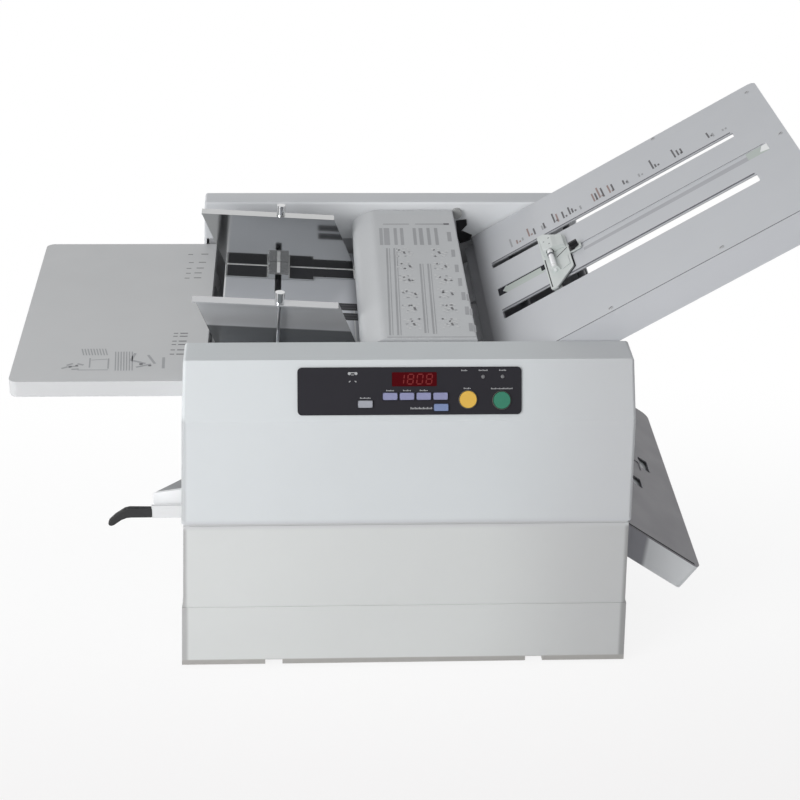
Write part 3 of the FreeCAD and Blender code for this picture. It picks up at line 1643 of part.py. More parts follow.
MODE_KEYS = [(D.mode_key_x + D.key_pitch * i, D.mode_key_y) for i in range(4)]
BAR_KEYS = {
    "select_key": (D.side_key_x, D.side_key_y),
    "mode_key_1": MODE_KEYS[0],
    "mode_key_2": MODE_KEYS[1],
    "mode_key_3": MODE_KEYS[2],
    "mode_key_4": MODE_KEYS[3],
    "set_key": (D.set_key_x, D.set_key_y),
}
ROUND_KEYS = {
    "stop_key": (D.stop_key_x, D.stop_key_y),
    "start_key": (D.start_key_x, D.start_key_y),
}


def key_outline(x, y, margin, corner=1.5):
    half_width = D.key_width / 2 + margin
    half_height = D.key_height / 2 + margin
    return rect(x - half_width, y - half_height, x + half_width, y + half_height, corner)


def control_panel():
    piece = Piece("control_panel")
    plate = rect(D.panel_left, D.panel_low, D.panel_right, D.panel_high, D.panel_corner)
    piece.pad("z", [plate], 0, D.panel_thickness)
    holes = [key_outline(x, y, D.key_gap, 0) for x, y in BAR_KEYS.values()]
    holes += [Circle(x, y, D.round_key_radius + D.key_gap) for x, y in ROUND_KEYS.values()]
    holes.append(rect(D.window_left, D.window_low, D.window_right, D.window_high, 1))
    piece.cut("z", holes, -1, D.panel_thickness + 1)
    piece.place(PANEL_FRAME)


def display_window():
    piece = Piece("display_window")
    gap = 0.1
    window = rect(D.window_left + gap, D.window_low + gap, D.window_right - gap, D.window_high - gap, 1)
    piece.pad("z", [window], -D.board_depth, D.panel_thickness - 0.3)
    piece.place(PANEL_FRAME)


def keys():
    top = D.panel_thickness + D.key_stand
    skirt_top = -D.panel_thickness / 4
    skirt_bottom = skirt_top - D.key_skirt
    margin = D.key_skirt_margin
    for label, (x, y) in BAR_KEYS.items():
        piece = Piece(label)
        piece.pad("z", [key_outline(x, y, 0)], skirt_bottom, top)
        piece.pad("z", [key_outline(x, y, margin, 0)], skirt_bottom, skirt_top)
        piece.place(PANEL_FRAME)
    for label, (x, y) in ROUND_KEYS.items():
        piece = Piece(label)
        piece.pad("z", [Circle(x, y, D.round_key_radius)], skirt_bottom, top)
        piece.pad("z", [Circle(x, y, D.round_key_radius + margin)], skirt_bottom, skirt_top)
        piece.place(PANEL_FRAME)


def box(name, length, width, height, placement):
    item = doc.addObject("Part::Box", name)
    bind(item, "Length", length)
    bind(item, "Width", width)
    bind(item, "Height", height)
    item.Placement = placement
    return item


def circuit_boards():
    """The key board behind the panel, and the supply board with its transformer on the base."""
    margin = D.board_margin
    thickness = D.board_thickness
    corner = point(D.panel_left + margin, D.panel_low + margin, -D.board_depth - thickness)
    width = D.panel_right - D.panel_left - margin * 2
    height = D.panel_high - D.panel_low - margin * 2
    place = PANEL_FRAME.multiply(Placement(corner, Rotation()))
    key_board = box("key_board", width, height, thickness, place)
    place = Placement(point(D.supply_x, D.supply_y, BASE_TOP_Z), Rotation())
    supply = box("supply_board", D.supply_length, D.supply_width, D.supply_thickness, place)
    margin = D.transformer_margin
    corner = point(D.supply_x + margin, D.supply_y + margin, BASE_TOP_Z + D.supply_thickness)
    place = Placement(corner, Rotation())
    core = box("transformer", D.transformer_length, D.transformer_width, D.transformer_height, place)
    group("circuit_boards", [key_board, supply, core])


# ---------------------------------------------------------------- rear fittings


SOCKET_LOW_Z = D.inlet_z - D.inlet_height / 2 + D.socket_rise
SWITCH_Z = D.inlet_z + D.inlet_height / 2 - D.switch_drop


def power_inlet():
    """Appliance inlet and the switch's housing in one moulding."""
    piece = Piece("power_inlet")
    x = D.inlet_x
    z = D.inlet_z
    back = D.rear_back_y
    half_width = D.inlet_width / 2
    half_height = D.inlet_height / 2
    flange = rect(x - half_width, z - half_height, x + half_width, z + half_height, 3)
    piece.pad("y", [flange], back, back + D.inlet_flange)
    rim = D.inlet_rim + 0.2
    core = rect(x - half_width + rim, z - half_height + rim, x + half_width - rim, z + half_height - rim, 2)
    piece.pad("y", [core], back - D.inlet_depth, back + 1)
    half = D.socket_width / 2
    slope = D.socket_height * 0.4
    top = SOCKET_LOW_Z + D.socket_height
    socket = [
        (x - half, SOCKET_LOW_Z),
        (x + half, SOCKET_LOW_Z),
        (x + half, top - slope),
        (x + half - slope, top),
        (x - half + slope, top),
        (x - half, top - slope),
    ]
    piece.cut("y", [socket], back - D.socket_depth, back + D.inlet_flange + 1)
    half_switch = D.switch_width / 2
    half_rocker = D.switch_height / 2
    opening = rect(x - half_switch, SWITCH_Z - half_rocker, x + half_switch, SWITCH_Z + half_rocker)
    piece.cut("y", [opening], back - D.switch_well, back + D.inlet_flange + 1)
    pins = []
    for across, up in ((-half / 2, 0), (0, D.socket_height / 5), (half / 2, 0)):
        low = SOCKET_LOW_Z + D.socket_height / 4 + up
        pins.append(rect(x + across - 1, low, x + across + 1, low + D.socket_height * 0.375))
    piece.pad("y", pins, back - D.socket_depth - 1, back - 3)


def power_switch():
    """Rocker on a round pin at its middle, left edge down at rest."""
    piece = Piece("power_switch")
    half = D.switch_width / 2 - 1.2
    half_rocker = D.switch_height / 2 - 0.5
    outline = [(-half, 1), (0, -5), (half, 1), (half, 2), (0, -0.5), (-half, 4.5)]
    piece.pad("z", [outline], -half_rocker, half_rocker)
    piece.pad("z", [Circle(0, 0, D.stem_radius)], -half_rocker - 0.4, half_rocker + 0.4)
    piece.place(Placement(point(D.inlet_x, D.rear_back_y, SWITCH_Z), Rotation()))


def pressure_knob():
    piece = Piece("pressure_knob")
    front = D.rear_wall_y
    length = D.pressure_knob_length
    piece.pad("y", [Circle(0, 0, D.pressure_knob_radius)], front - 0.3 - length, front - 0.3)
    piece.pad("y", [Circle(0, 0, D.stem_radius)], front - 1, front + D.cover_wall)
    piece.place(Placement(point(D.pressure_knob_x, 0, D.pressure_knob_z), Rotation()))


# ---------------------------------------------------------------- assembly


def build():
    upper_front_cover()
    lower_front_cover()
    rear_cover()
    base_plate()
    rubber_feet()
    frames()
    tie_rods()
    left_panel()
    right_panel()
    exit_chute()
    separator_block()
    drive()
    outer_tray()
    paper_table()
    friction_pads()
    guides()
    lever_arm()
    lever_grip()
    lifter_shaft()
    centre_cover()
    fold_plates()
    control_panel()
    display_window()
    keys()
    circuit_boards()
    power_inlet()
    power_switch()
    pressure_knob()
    doc.recompute()


def centre_on_origin():
    """Moves every sub-part so that the origin is the middle of the machine's footprint, on the desk."""
    box = FreeCAD.BoundBox()
    for item in subparts:
        box.add(item.Shape.BoundBox)
    shift = Placement(Vector(-box.Center.x, -box.Center.y, -box.ZMin), Rotation())
    for item in subparts:
        item.Placement = shift.multiply(item.Placement)
    doc.recompute()
    print("size", round(box.XLength, 1), round(box.YLength, 1), round(box.ZLength, 1))
    print("shift", round(shift.Base.x, 4), round(shift.Base.y, 4), round(shift.Base.z, 4))


def check():
    for item in doc.Objects:
        if {"Invalid", "Error"} & set(item.State):
            raise RuntimeError(f"{item.Name} failed: {item.State}")
    for feature, base in pockets:
        if feature.Shape.Volume >= base.Shape.Volume - 1e-6:
            raise RuntimeError(f"{feature.Name} removes nothing")
    for item in subparts:
        if item.Shape.isNull() or not item.Shape.isValid() or not item.Shape.Solids:
            raise RuntimeError(f"{item.Label} has no valid solid")


def export():
    os.makedirs("parts", exist_ok=True)
    for item in subparts:
        item.Shape.exportStep(os.path.join("parts", item.Label + ".step"))
    print(len(subparts), "sub-parts")


build()
check()
centre_on_origin()
check()
export()
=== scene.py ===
import math

import bmesh
import bpy
from mathutils import Matrix, Vector

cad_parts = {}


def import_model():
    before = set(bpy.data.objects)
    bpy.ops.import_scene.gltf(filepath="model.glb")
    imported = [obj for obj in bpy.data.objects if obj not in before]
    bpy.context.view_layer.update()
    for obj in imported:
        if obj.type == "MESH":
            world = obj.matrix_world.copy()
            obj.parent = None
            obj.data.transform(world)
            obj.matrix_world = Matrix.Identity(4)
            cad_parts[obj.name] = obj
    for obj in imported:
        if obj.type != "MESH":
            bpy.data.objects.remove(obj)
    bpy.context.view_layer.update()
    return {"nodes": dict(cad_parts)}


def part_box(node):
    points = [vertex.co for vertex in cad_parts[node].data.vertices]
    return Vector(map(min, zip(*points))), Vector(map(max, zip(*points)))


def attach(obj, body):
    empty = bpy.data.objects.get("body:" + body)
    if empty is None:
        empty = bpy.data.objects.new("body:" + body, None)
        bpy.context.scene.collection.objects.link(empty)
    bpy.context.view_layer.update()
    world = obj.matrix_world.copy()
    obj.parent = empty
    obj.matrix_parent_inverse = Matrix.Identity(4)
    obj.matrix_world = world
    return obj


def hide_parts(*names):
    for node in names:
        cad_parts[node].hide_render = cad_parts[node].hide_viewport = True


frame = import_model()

NODES = frame["nodes"]
COVER_LOW, COVER_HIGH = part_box("upper_front_cover")
SKIRT_LOW, SKIRT_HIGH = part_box("lower_front_cover")
TABLE_LOW, TABLE_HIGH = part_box("paper_table")
REAR_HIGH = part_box("rear_cover")[1]

# ------------------------------------------------------------------ places

# The drawing's own origin: middle of the casing, its front face, the desk.
MIDDLE_X = (COVER_LOW.x + COVER_HIGH.x) / 2
FRONT_Y = COVER_LOW.y


def at(x, y, z):
    """A place given in millimetres from the casing's front middle, in metres of the frame."""
    return Vector((MIDDLE_X + x / 1000, FRONT_Y + y / 1000, z / 1000))


def on(place, x, y, z):
    """A point in millimetres of a piece's own frame, in metres of the machine's frame."""
    return place @ Vector((x / 1000, y / 1000, z / 1000))


def shifted(x, y, z):
    return Matrix.Translation((x / 1000, y / 1000, z / 1000))


def turned(degrees, axis):
    return Matrix.Rotation(math.radians(degrees), 4, axis)


def tilted(x, y, z, degrees, axis):
    """A frame at a place in millimetres from the casing's front middle, turned about one axis."""
    return Matrix.Translation(at(x, y, z)) @ turned(degrees, axis)


# Frames of the faces that carry prints, trims, painted highlights or fades of painted shade: a corner in
# millimetres, and a slope in degrees.
TABLE = tilted(-213, 0, 334.5, 3.2, "Y")
UPPER = tilted(91.2, 0, 339.2, -31.3, "Y")
LOWER = tilted(112, 0, 252.3, 34.8, "Y")
LOWER_FLANGE = LOWER @ turned(-29, "Y")
PANEL_RISE = 61
PANEL_RUN = 28
PANEL = tilted(0, 0, 325, math.degrees(math.atan2(PANEL_RISE, PANEL_RUN)), "X")
LID = tilted(-26.5, 0, 386.5, 0, "Z")
TRAY = tilted(0, 0, 338, 0, "Z")
REAR_WALL = tilted(0, 464, 0, 90, "X")
OWN = tilted(0, 0, 0, 0, "Z")
DESK = Matrix.Identity(4)

SEAM_Z = COVER_LOW.z * 1000
REAR_TOP_Z = REAR_HIGH.z * 1000
TABLE_FRONT = (TABLE_LOW.y - FRONT_Y) * 1000
TABLE_BACK = (TABLE_HIGH.y - FRONT_Y) * 1000

# Frames on the upright front edges of the covers, which spread towards the desk. Their X axis runs diagonally
# through the edge, so that a fade along it stays near the edge, on the front face and on the side face alike.
# The covers' fades along them are painted shade on the rounded edges and the side faces.
DIAGONAL = 45
COVER_HALF = (COVER_HIGH.x - OWN.translation.x) * 1000
SKIRT_HALF = (SKIRT_HIGH.x - OWN.translation.x) * 1000
SKIRT_SPREAD = (SKIRT_HALF - COVER_HALF) * math.cos(math.radians(DIAGONAL))
DRAFT = math.degrees(math.atan2(SKIRT_SPREAD, SEAM_Z))
LEFT_EDGE = tilted(-COVER_HALF, 0, SEAM_Z, DIAGONAL, "Z") @ turned(DRAFT, "Y")
RIGHT_EDGE = tilted(COVER_HALF, 0, SEAM_Z, -DIAGONAL, "Z") @ turned(-DRAFT, "Y")


# ------------------------------------------------------------------ materials

# Most of the noise lies between these two values.
NOISE_LOW = 0.3
NOISE_HIGH = 0.7

# A finish's uneven tint and gloss: the scale of their patches, and how far the gloss strays. Relief in metres.
TINT_PATCHES = 7
GLOSS_PATCHES = 24
GLOSS_SPREAD = 0.12
RELIEF_DEPTH = 0.0004


def linear(r, g, b):
    """0-255 screen colour as a linear colour with alpha."""
    out = []
    for v in (r, g, b):
        v /= 255
        out.append(v / 12.92 if v <= 0.04045 else ((v + 0.055) / 1.055) ** 2.4)
    return (*out, 1.0)


def shaded(color, factor):
    return (*(min(1.0, c * factor) for c in color[:3]), 1.0)


class Tree:
    """The node tree of a material or world, with short ways to add and join nodes."""

    def __init__(self, owner):
        owner.use_nodes = True
        self.tree = owner.node_tree
        self.tree.nodes.clear()

    def add(self, kind, **settings):
        node = self.tree.nodes.new(kind)
        for key, value in settings.items():
            setattr(node, key, value)
        return node

    def join(self, source, target):
        self.tree.links.new(source, target)

    def ranged(self, value, start, end, low=0.0, high=1.0, **settings):
        """The value, carried from one range to another."""
        node = self.add("ShaderNodeMapRange", **settings)
        node.inputs["From Min"].default_value = start
        node.inputs["From Max"].default_value = end
        node.inputs["To Min"].default_value = low
        node.inputs["To Max"].default_value = high
        self.join(value, node.inputs["Value"])
        return node.outputs["Result"]

    def combined(self, operation, first, second):
        node = self.add("ShaderNodeMath", operation=operation)
        self.join(first, node.inputs[0])
        self.join(second, node.inputs[1])
        return node.outputs["Value"]

    def blend(self, factor, first, second):
        """Mix of two colours, each a value or a socket."""
        mix = self.add("ShaderNodeMix", data_type="RGBA")
        self.join(factor, mix.inputs["Factor"])
        for socket, color in ((mix.inputs[6], first), (mix.inputs[7], second)):
            if isinstance(color, bpy.types.NodeSocket):
                self.join(color, socket)
            else:
                socket.default_value = color
        return mix.outputs[2]

    def chosen(self, factor, first, second):
        """Mix of two shaders."""
        mix = self.add("ShaderNodeMixShader")
        self.join(factor, mix.inputs["Fac"])
        self.join(first, mix.inputs[1])
        self.join(second, mix.inputs[2])
        return mix.outputs["Shader"]


class Nodes(Tree):
    """A material's node tree, on the coordinates of the object that wears it."""

    def __init__(self, name):
        self.material = bpy.data.materials.new(name)
        super().__init__(self.material)
        self.output = self.add("ShaderNodeOutputMaterial")
        self.coordinates = self.add("ShaderNodeTexCoord")

    def stretched(self, scale):
        mapping = self.add("ShaderNodeMapping")
        mapping.inputs["Scale"].default_value = scale
        self.join(self.coordinates.outputs["Object"], mapping.inputs["Vector"])
        return mapping.outputs["Vector"]

    def noise(self, scale, detail, vector=None):
        noise = self.add("ShaderNodeTexNoise")
        noise.inputs["Scale"].default_value = scale
        noise.inputs["Detail"].default_value = detail
        self.join(vector or self.coordinates.outputs["Object"], noise.inputs["Vector"])
        return noise.outputs["Fac"]

    def spread(self, value, low, high):
        return self.ranged(value, NOISE_LOW, NOISE_HIGH, low, high)

    def along(self, place, axis, start, end):
        """0 to 1 between two distances (millimetres) along an axis of a piece's own frame."""
        mapping = self.add("ShaderNodeMapping", vector_type="TEXTURE")
        mapping.inputs["Location"].default_value = place.translation
        mapping.inputs["Rotation"].default_value = place.to_euler()
        self.join(self.coordinates.outputs["Object"], mapping.inputs["Vector"])
        split = self.add("ShaderNodeSeparateXYZ")
        self.join(mapping.outputs["Vector"], split.inputs["Vector"])
        return self.ranged(split.outputs[axis], start / 1000, end / 1000, interpolation_type="SMOOTHSTEP")


def surface(
    name, screen, rough, metallic=0.0, *, grain, relief, uneven, streak=None, specular=0.5, fades=()
):
    """A finish of a 0-255 screen colour, with its own grain relief and unevenness of colour and gloss.

    streak stretches the noise, for brushed metal. A fade is a frame, an axis of it, two distances in
    millimetres and another screen colour. That colour holds on the far side of the first distance, and has
    given way to the colours before it by the second. The fades used here are painted shade: darker bands,
    edges and sides where the light falls off.
    """
    color = linear(*screen)
    n = Nodes(name)
    shader = n.add("ShaderNodeBsdfPrincipled")
    n.join(shader.outputs["BSDF"], n.output.inputs["Surface"])
    shader.inputs["Metallic"].default_value = metallic
    shader.inputs["Specular IOR Level"].default_value = specular
    patches = n.spread(n.noise(TINT_PATCHES, 4), 0, 1)
    tint = n.blend(patches, shaded(color, 1 - uneven), shaded(color, 1 + uneven))
    for place, axis, start, end, other in fades:
        tint = n.blend(n.along(place, axis, start, end), linear(*other), tint)
    n.join(tint, shader.inputs["Base Color"])
    vector = n.stretched(streak) if streak else None
    fine = n.noise(grain, 2, vector)
    gloss = n.noise(GLOSS_PATCHES, 3, vector)
    low, high = rough * (1 - GLOSS_SPREAD), rough * (1 + GLOSS_SPREAD)
    n.join(n.spread(gloss, low, high), shader.inputs["Roughness"])
    bump = n.add("ShaderNodeBump")
    bump.inputs["Strength"].default_value = relief
    bump.inputs["Distance"].default_value = RELIEF_DEPTH
    n.join(fine, bump.inputs["Height"])
    n.join(bump.outputs["Normal"], shader.inputs["Normal"])
    return n.material


def moulding(name, screen, rough=0.5, uneven=0.012, specular=0.35, fades=()):
    """Moulded plastic of the covers; its fades paint shade into the colour."""
    return surface(name, screen, rough, grain=1500, relief=0.10, uneven=uneven, specular=specular, fades=fades)


def paint(name, screen, rough=0.42, uneven=0.012, fades=()):
    """Paint on sheet steel; its fades paint shade into the colour."""
    return surface(name, screen, rough, grain=2200, relief=0.05, uneven=uneven, fades=fades)


def key_cap(name, screen, uneven=0.03):
    return surface(name, screen, 0.4, grain=2600, relief=0.03, uneven=uneven, specular=0.3)


def print_ink(name, screen, uneven, rough=0.6):
    return surface(name, screen, rough, grain=2600, relief=0.02, uneven=uneven)


def shadow_line(name, screen, rough, uneven, specular=0.5):
    """The floor of a groove or seam."""
    return surface(name, screen, rough, grain=1800, relief=0.05, uneven=uneven, specular=specular)


def glowing(name, screen, strength):
    """A lit segment, which glows a little by itself."""
    color = linear(*screen)
    n = Nodes(name)
    shader = n.add("ShaderNodeBsdfPrincipled")
    shader.inputs["Roughness"].default_value = 0.3
    shader.inputs["Emission Strength"].default_value = strength
    n.join(n.blend(n.spread(n.noise(300, 2), 0, 1), shaded(color, 0.85), color), shader.inputs["Base Color"])
    shader.inputs["Emission Color"].default_value = color
    n.join(shader.outputs["BSDF"], n.output.inputs["Surface"])
    return n.material


# Painted shade on the upper front cover: darker towards its right end where the light falls off, along its
# rounded edges and side faces, and in a band just above the seam.
cover_front = moulding("moulded_grey_front", (213, 217, 219), fades=[
    (OWN, "X", 236, 90, (204, 206, 208)),
    (LEFT_EDGE, "X", 1.1, 5, (184, 186, 188)),
    (RIGHT_EDGE, "X", -1.1, -3.2, (190, 192, 194)),
    (DESK, "Z", SEAM_Z + 0.5, SEAM_Z + 6, (202, 204, 207)),
])
# Painted shade on the lower front cover: darker towards the right, along its edges and side faces, in a band
# along its bottom edge by the desk, and in a band under the seam.
cover_lower = moulding("moulded_grey_lower", (213, 215, 214), fades=[
    (OWN, "X", 236, 70, (197, 198, 198)),
    (LEFT_EDGE, "X", 6, 9.2, (180, 180, 180)),
    (RIGHT_EDGE, "X", -6, -9.2, (158, 158, 158)),
    (DESK, "Z", 8.6, 10.6, (170, 168, 165)),
    (DESK, "Z", SEAM_Z - 6, SEAM_Z - 13, (205, 206, 207)),
])
# Painted light and shade on the rear cover: its base is a lighter copy of the covers' grey for the well-lit
# inner wall, darker towards the left where the side guide shades the wall, and darker over its top.
cover_rear = moulding("moulded_grey_rear_lit_and_shaded", (238, 240, 242), fades=[
    (OWN, "X", -230, 40, (212, 214, 217)),
    (DESK, "Z", REAR_TOP_Z - 1.2, REAR_TOP_Z - 2.4, (211, 213, 216)),
    (OWN, "Y", 468, 466, (217, 219, 222)),
])
# Painted shade: the seam lip's grey, a little darker than the covers, stands for the soft shade band under the
# upper cover.
seam_lip = moulding("moulded_lip_painted_shade", (205, 206, 207), 0.6, uneven=0.02, specular=0.2)
lid_moulding = surface("lid_grey", (206, 208, 210), 0.46, grain=1500, relief=0.08, uneven=0.012)

panel_paint = paint("painted_grey", (205, 207, 209))
# Painted shade on the exit chute: behind 92 mm from the front, its top and inside are much darker than the
# bright front wall.
chute_paint = paint("chute_paint", (248, 249, 250), 0.45, fades=[(OWN, "Y", 92, 90.5, (158, 159, 161))])
tray_paint = paint("tray_paint", (204, 205, 206), uneven=0.014)
# Painted shade on the upper fold plate: its first 40 mm darken towards the lid's edge, for the shadow of the
# lid.
upper_paint = paint("upper_plate_paint", (204, 206, 210), fades=[(UPPER, "X", 12, 40, (122, 122, 126))])
lower_paint = paint("lower_plate_paint", (128, 126, 131), 0.4, 0.03)
# Painted shadow on the lower plate's side flange: its part nearest the casing, up to 186 mm along the flange,
# is dark where the casing shades it.
lower_rail_paint = paint("lower_rail_paint", (222, 224, 226), 0.4, 0.02, [
    (LOWER_FLANGE, "X", 186, 193, (138, 138, 144)),
])

# Painted shade on the side guides' brushed steel: the wall is darker below 33 mm above the table.
guide_steel = surface(
    "brushed_guide_steel", (214, 215, 217), 0.16, 0.6, grain=500, relief=0.01, uneven=0.02,
    streak=(1, 1, 30), fades=[(TABLE, "Z", 32.6, 34.2, (122, 124, 126))],
)
polished = surface(
    "polished_steel", (208, 209, 209), 0.07, 1.0, grain=500, relief=0.008, uneven=0.02, streak=(40, 1, 1),
)
table_steel = surface(
    "table_steel", (210, 213, 219), 0.32, 0.38, grain=700, relief=0.02, uneven=0.03, streak=(1, 30, 1),
)
ground = surface(
    "ground_steel", (170, 171, 173), 0.25, 1.0, grain=900, relief=0.03, uneven=0.03, streak=(1, 30, 1),
)
zinc = surface("zinc_plate", (190, 191, 193), 0.4, 0.4, grain=700, relief=0.04, uneven=0.06)
bright_zinc = surface("bright_zinc", (226, 227, 228), 0.35, 0.25, grain=700, relief=0.03, uneven=0.03)
stop_paint = surface("stop_finish", (214, 219, 217), 0.34, 0.1, grain=1200, relief=0.05, uneven=0.02)
dark_steel = surface("dark_steel", (92, 93, 96), 0.5, 0.3, grain=900, relief=0.03, uneven=0.05)
# Painted reflection: the chrome stop bar gets a near-white, fairly matt colour that stands for the bright
# light it reflects.
bar_steel_painted_reflection = surface("bar_steel_painted_reflection", (246, 247, 248), 0.28, 0.15, grain=900, relief=0.2, uneven=0.02)
chrome = surface("bright_chrome", (232, 233, 234), 0.09, 1.0, grain=300, relief=0.01, uneven=0.01)

overlay = surface("panel_film", (47, 46, 51), 0.5, grain=2600, relief=0.04, uneven=0.03, specular=0.12)
black = surface("black_moulding", (40, 40, 42), 0.5, grain=1800, relief=0.12, uneven=0.05, specular=0.3)
grip_black = surface("grip_moulding", (50, 50, 51), 0.55, grain=1300, relief=0.25, uneven=0.08, specular=0.3)
lining = surface("foot_lining", (38, 39, 43), 0.3, grain=1200, relief=0.08, uneven=0.08, specular=0.12)
# Painted light: the fold rollers' rubber is a pale grey, far lighter than rubber, so that the rollers deep in
# the casing's shade do not read black.
roller_rubber_painted_light = surface(
    "roller_rubber_painted_light", (212, 212, 215), 0.6, grain=1500, relief=0.15, uneven=0.06, specular=0.2,
)
rubber = surface("dark_rubber", (44, 43, 42), 0.7, grain=1600, relief=0.2, uneven=0.08)
pad_rubber = surface("pad_rubber", (52, 53, 56), 0.6, grain=1500, relief=0.3, uneven=0.12)
knob_grey = surface("knob_grey", (172, 173, 172), 0.4, grain=1500, relief=0.08, uneven=0.03)
nylon = surface("natural_nylon", (226, 223, 212), 0.4, grain=900, relief=0.05, uneven=0.02)
board = surface("circuit_board", (40, 92, 58), 0.4, grain=300, relief=0.1, uneven=0.1)
window = surface("display_glass", (84, 8, 16), 0.5, grain=200, relief=0.01, uneven=0.2, specular=0.05)
lamp_off = surface("lamp_lens", (120, 120, 122), 0.3, grain=600, relief=0.02, uneven=0.1, specular=0.3)
pale_rim = surface("key_rim", (104, 103, 96), 0.4, grain=2600, relief=0.03, uneven=0.03)
digit_glow = glowing("lit_segment", (118, 30, 30), 0.1)

grey_key = key_cap("key_grey", (164, 166, 174))
lavender_key = key_cap("key_lavender", (144, 146, 180))
blue_key = key_cap("key_blue", (126, 142, 180))
yellow_key = key_cap("key_yellow", (228, 184, 84), 0.04)
green_key = key_cap("key_green", (60, 130, 106), 0.04)

ink = print_ink("printed_grey", (120, 120, 123), 0.15)
dark_ink = print_ink("printed_dark", (104, 103, 106), 0.15)
warm_ink = print_ink("printed_warm", (164, 142, 138), 0.15)
faint_ink = print_ink("printed_faint", (170, 171, 174), 0.1)
lid_ink = print_ink("printed_lid", (176, 177, 180), 0.1)
# Pale print on the lid, also used for the painted highlight lines on the side guides' clamping blocks.
pale_ink_and_highlight = print_ink("printed_pale_and_highlight", (222, 223, 224), 0.05)
white_ink = print_ink("printed_white", (178, 179, 181), 0.05, rough=0.55)
# Painted highlights: a near-white for the bright lines along the table's edges and the guides' feet, and for
# the light at the far end of the groove.
painted_highlight_tone = print_ink("painted_highlight_material", (250, 251, 251), 0.02, rough=0.3)

groove_tint = shadow_line("groove_floor", (190, 198, 193), 0.45, 0.03)
soft_band = shadow_line("groove_shade", (180, 181, 186), 0.5, 0.03)
seam_black = shadow_line("seam_shadow", (46, 46, 50), 0.7, 0.1, specular=0.1)
# Dark grey for seam lines, dots, the bar's collar and pad stripes; also painted shade on the far lips of the
# slots and the groove.
seam_grey = shadow_line("seam_line", (112, 113, 118), 0.6, 0.1, specular=0.2)

MODE_KEYS = [f"mode_key_{number}" for number in range(1, 5)]
ROLLERS = ("main", "upper", "right", "lower")

FINISH = {
    "upper_front_cover": cover_front,
    "lower_front_cover": cover_lower,
    "rear_cover": cover_rear,
    "centre_cover": lid_moulding,
    "left_panel": panel_paint,
    "right_panel": panel_paint,
    "outer_tray": tray_paint,
    "exit_chute": chute_paint,
    "paper_table": table_steel,
    "front_side_guide": guide_steel,
    "rear_side_guide": polished,
    "front_guide_knob": chrome,
    "rear_guide_knob": chrome,
    "upper_plate_sheet": upper_paint,
    "upper_plate_frame": upper_paint,
    "lower_plate_sheet": lower_paint,
    "lower_plate_frame": lower_rail_paint,
    "upper_stop": stop_paint,
    "lower_stop": zinc,
    "upper_stop_bar": bar_steel_painted_reflection,
    "upper_stop_knob": black,
    "lever_arm": bright_zinc,
    "lever_grip": grip_black,
    "lifter_shaft": zinc,
    "control_panel": overlay,
    "display_window": window,
    "select_key": grey_key,
    "set_key": blue_key,
    "stop_key": yellow_key,
    "start_key": green_key,
    "base_plate": zinc,
    "front_side_frame": zinc,
    "rear_side_frame": zinc,
    "tie_rods": dark_steel,
    "roller_bearings": ground,
    "separator_block": zinc,
    "feed_roller": rubber,
    "feed_pulley": nylon,
    "motor_pulley": ground,
    "drive_motor": black,
    "drive_belt": rubber,
    "feed_belt": rubber,
    "friction_pads": pad_rubber,
    "rubber_feet": rubber,
    "circuit_boards": board,
    "power_inlet": black,
    "power_switch": black,
    "pressure_knob": knob_grey,
}
for key in MODE_KEYS:
    FINISH[key] = lavender_key
for roller in ROLLERS:
    FINISH[f"fold_roller_{roller}"] = roller_rubber_painted_light
    FINISH[f"fold_gear_{roller}"] = nylon

# Nodes with broken edges, by the width of the edge in millimetres.
EDGE_WIDTHS = {
    1.0: ["lever_grip"],
    0.8: ["upper_front_cover", "lower_front_cover"],
    0.6: ["centre_cover", "stop_key", "start_key"],
    0.5: ["outer_tray", "upper_plate_frame", "lower_plate_frame", "upper_stop_knob", "select_key", "set_key"],
    0.4: ["lever_arm", "power_inlet", "power_switch"],
    0.3: ["upper_plate_sheet", "lower_plate_sheet", "upper_stop", "control_panel", "exit_chute"],
    0.25: ["front_side_guide", "rear_side_guide", "paper_table"],
    0.2: ["front_guide_knob", "rear_guide_knob"],
}
EDGE_WIDTHS[0.5] += MODE_KEYS
EDGE = {node: width for width, nodes in EDGE_WIDTHS.items() for node in nodes}
NODE_EDGE_ANGLE = 40


def break_edges(made, width):
    """A small rounding along a piece's edges, its width in millimetres."""
    bevel = made.modifiers.new("edge", "BEVEL")
    bevel.width = width / 1000
    bevel.segments = 2
    return bevel


def dress_nodes():
    for name, node in NODES.items():
        node.data.materials.clear()
        node.data.materials.append(FINISH[name])
        if name in EDGE:
            bevel = break_edges(node, EDGE[name])
            bevel.angle_limit = math.radians(NODE_EDGE_ANGLE)


# ------------------------------------------------------------------ pieces

PRINT_LIFT = 0.1


def mesh_of(name, form):
    mesh = bpy.data.meshes.new(name)
    form.to_mesh(mesh)
    form.free()
    return mesh


def finish_piece(name, form, material, body):
    """A visible piece, which rides with its body."""
    mesh = mesh_of(name, form)
    made = bpy.data.objects.new(name, mesh)
    bpy.context.scene.collection.objects.link(made)
    mesh.materials.append(material)
    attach(made, body)
    return made


def marks(name, place, shapes, material, body, lift=PRINT_LIFT):
    """Flat printed shapes, as outlines in millimetres on a piece's face, a hair above it."""
    form = bmesh.new()
    for outline in shapes:
        form.faces.new([form.verts.new(on(place, x, y, lift)) for x, y in outline])
    return finish_piece(name, form, material, body)


def bar(x, y, width, height, degrees=0):
    """A rectangle about its middle, turned on the spot."""
    turn = math.radians(degrees)
    out = []
    for dx, dy in ((-1, -1), (1, -1), (1, 1), (-1, 1)):
        px = dx * width / 2
        py = dy * height / 2
        across = px * math.cos(turn) - py * math.sin(turn)
        upward = px * math.sin(turn) + py * math.cos(turn)
        out.append((x + across, y + upward))
    return out


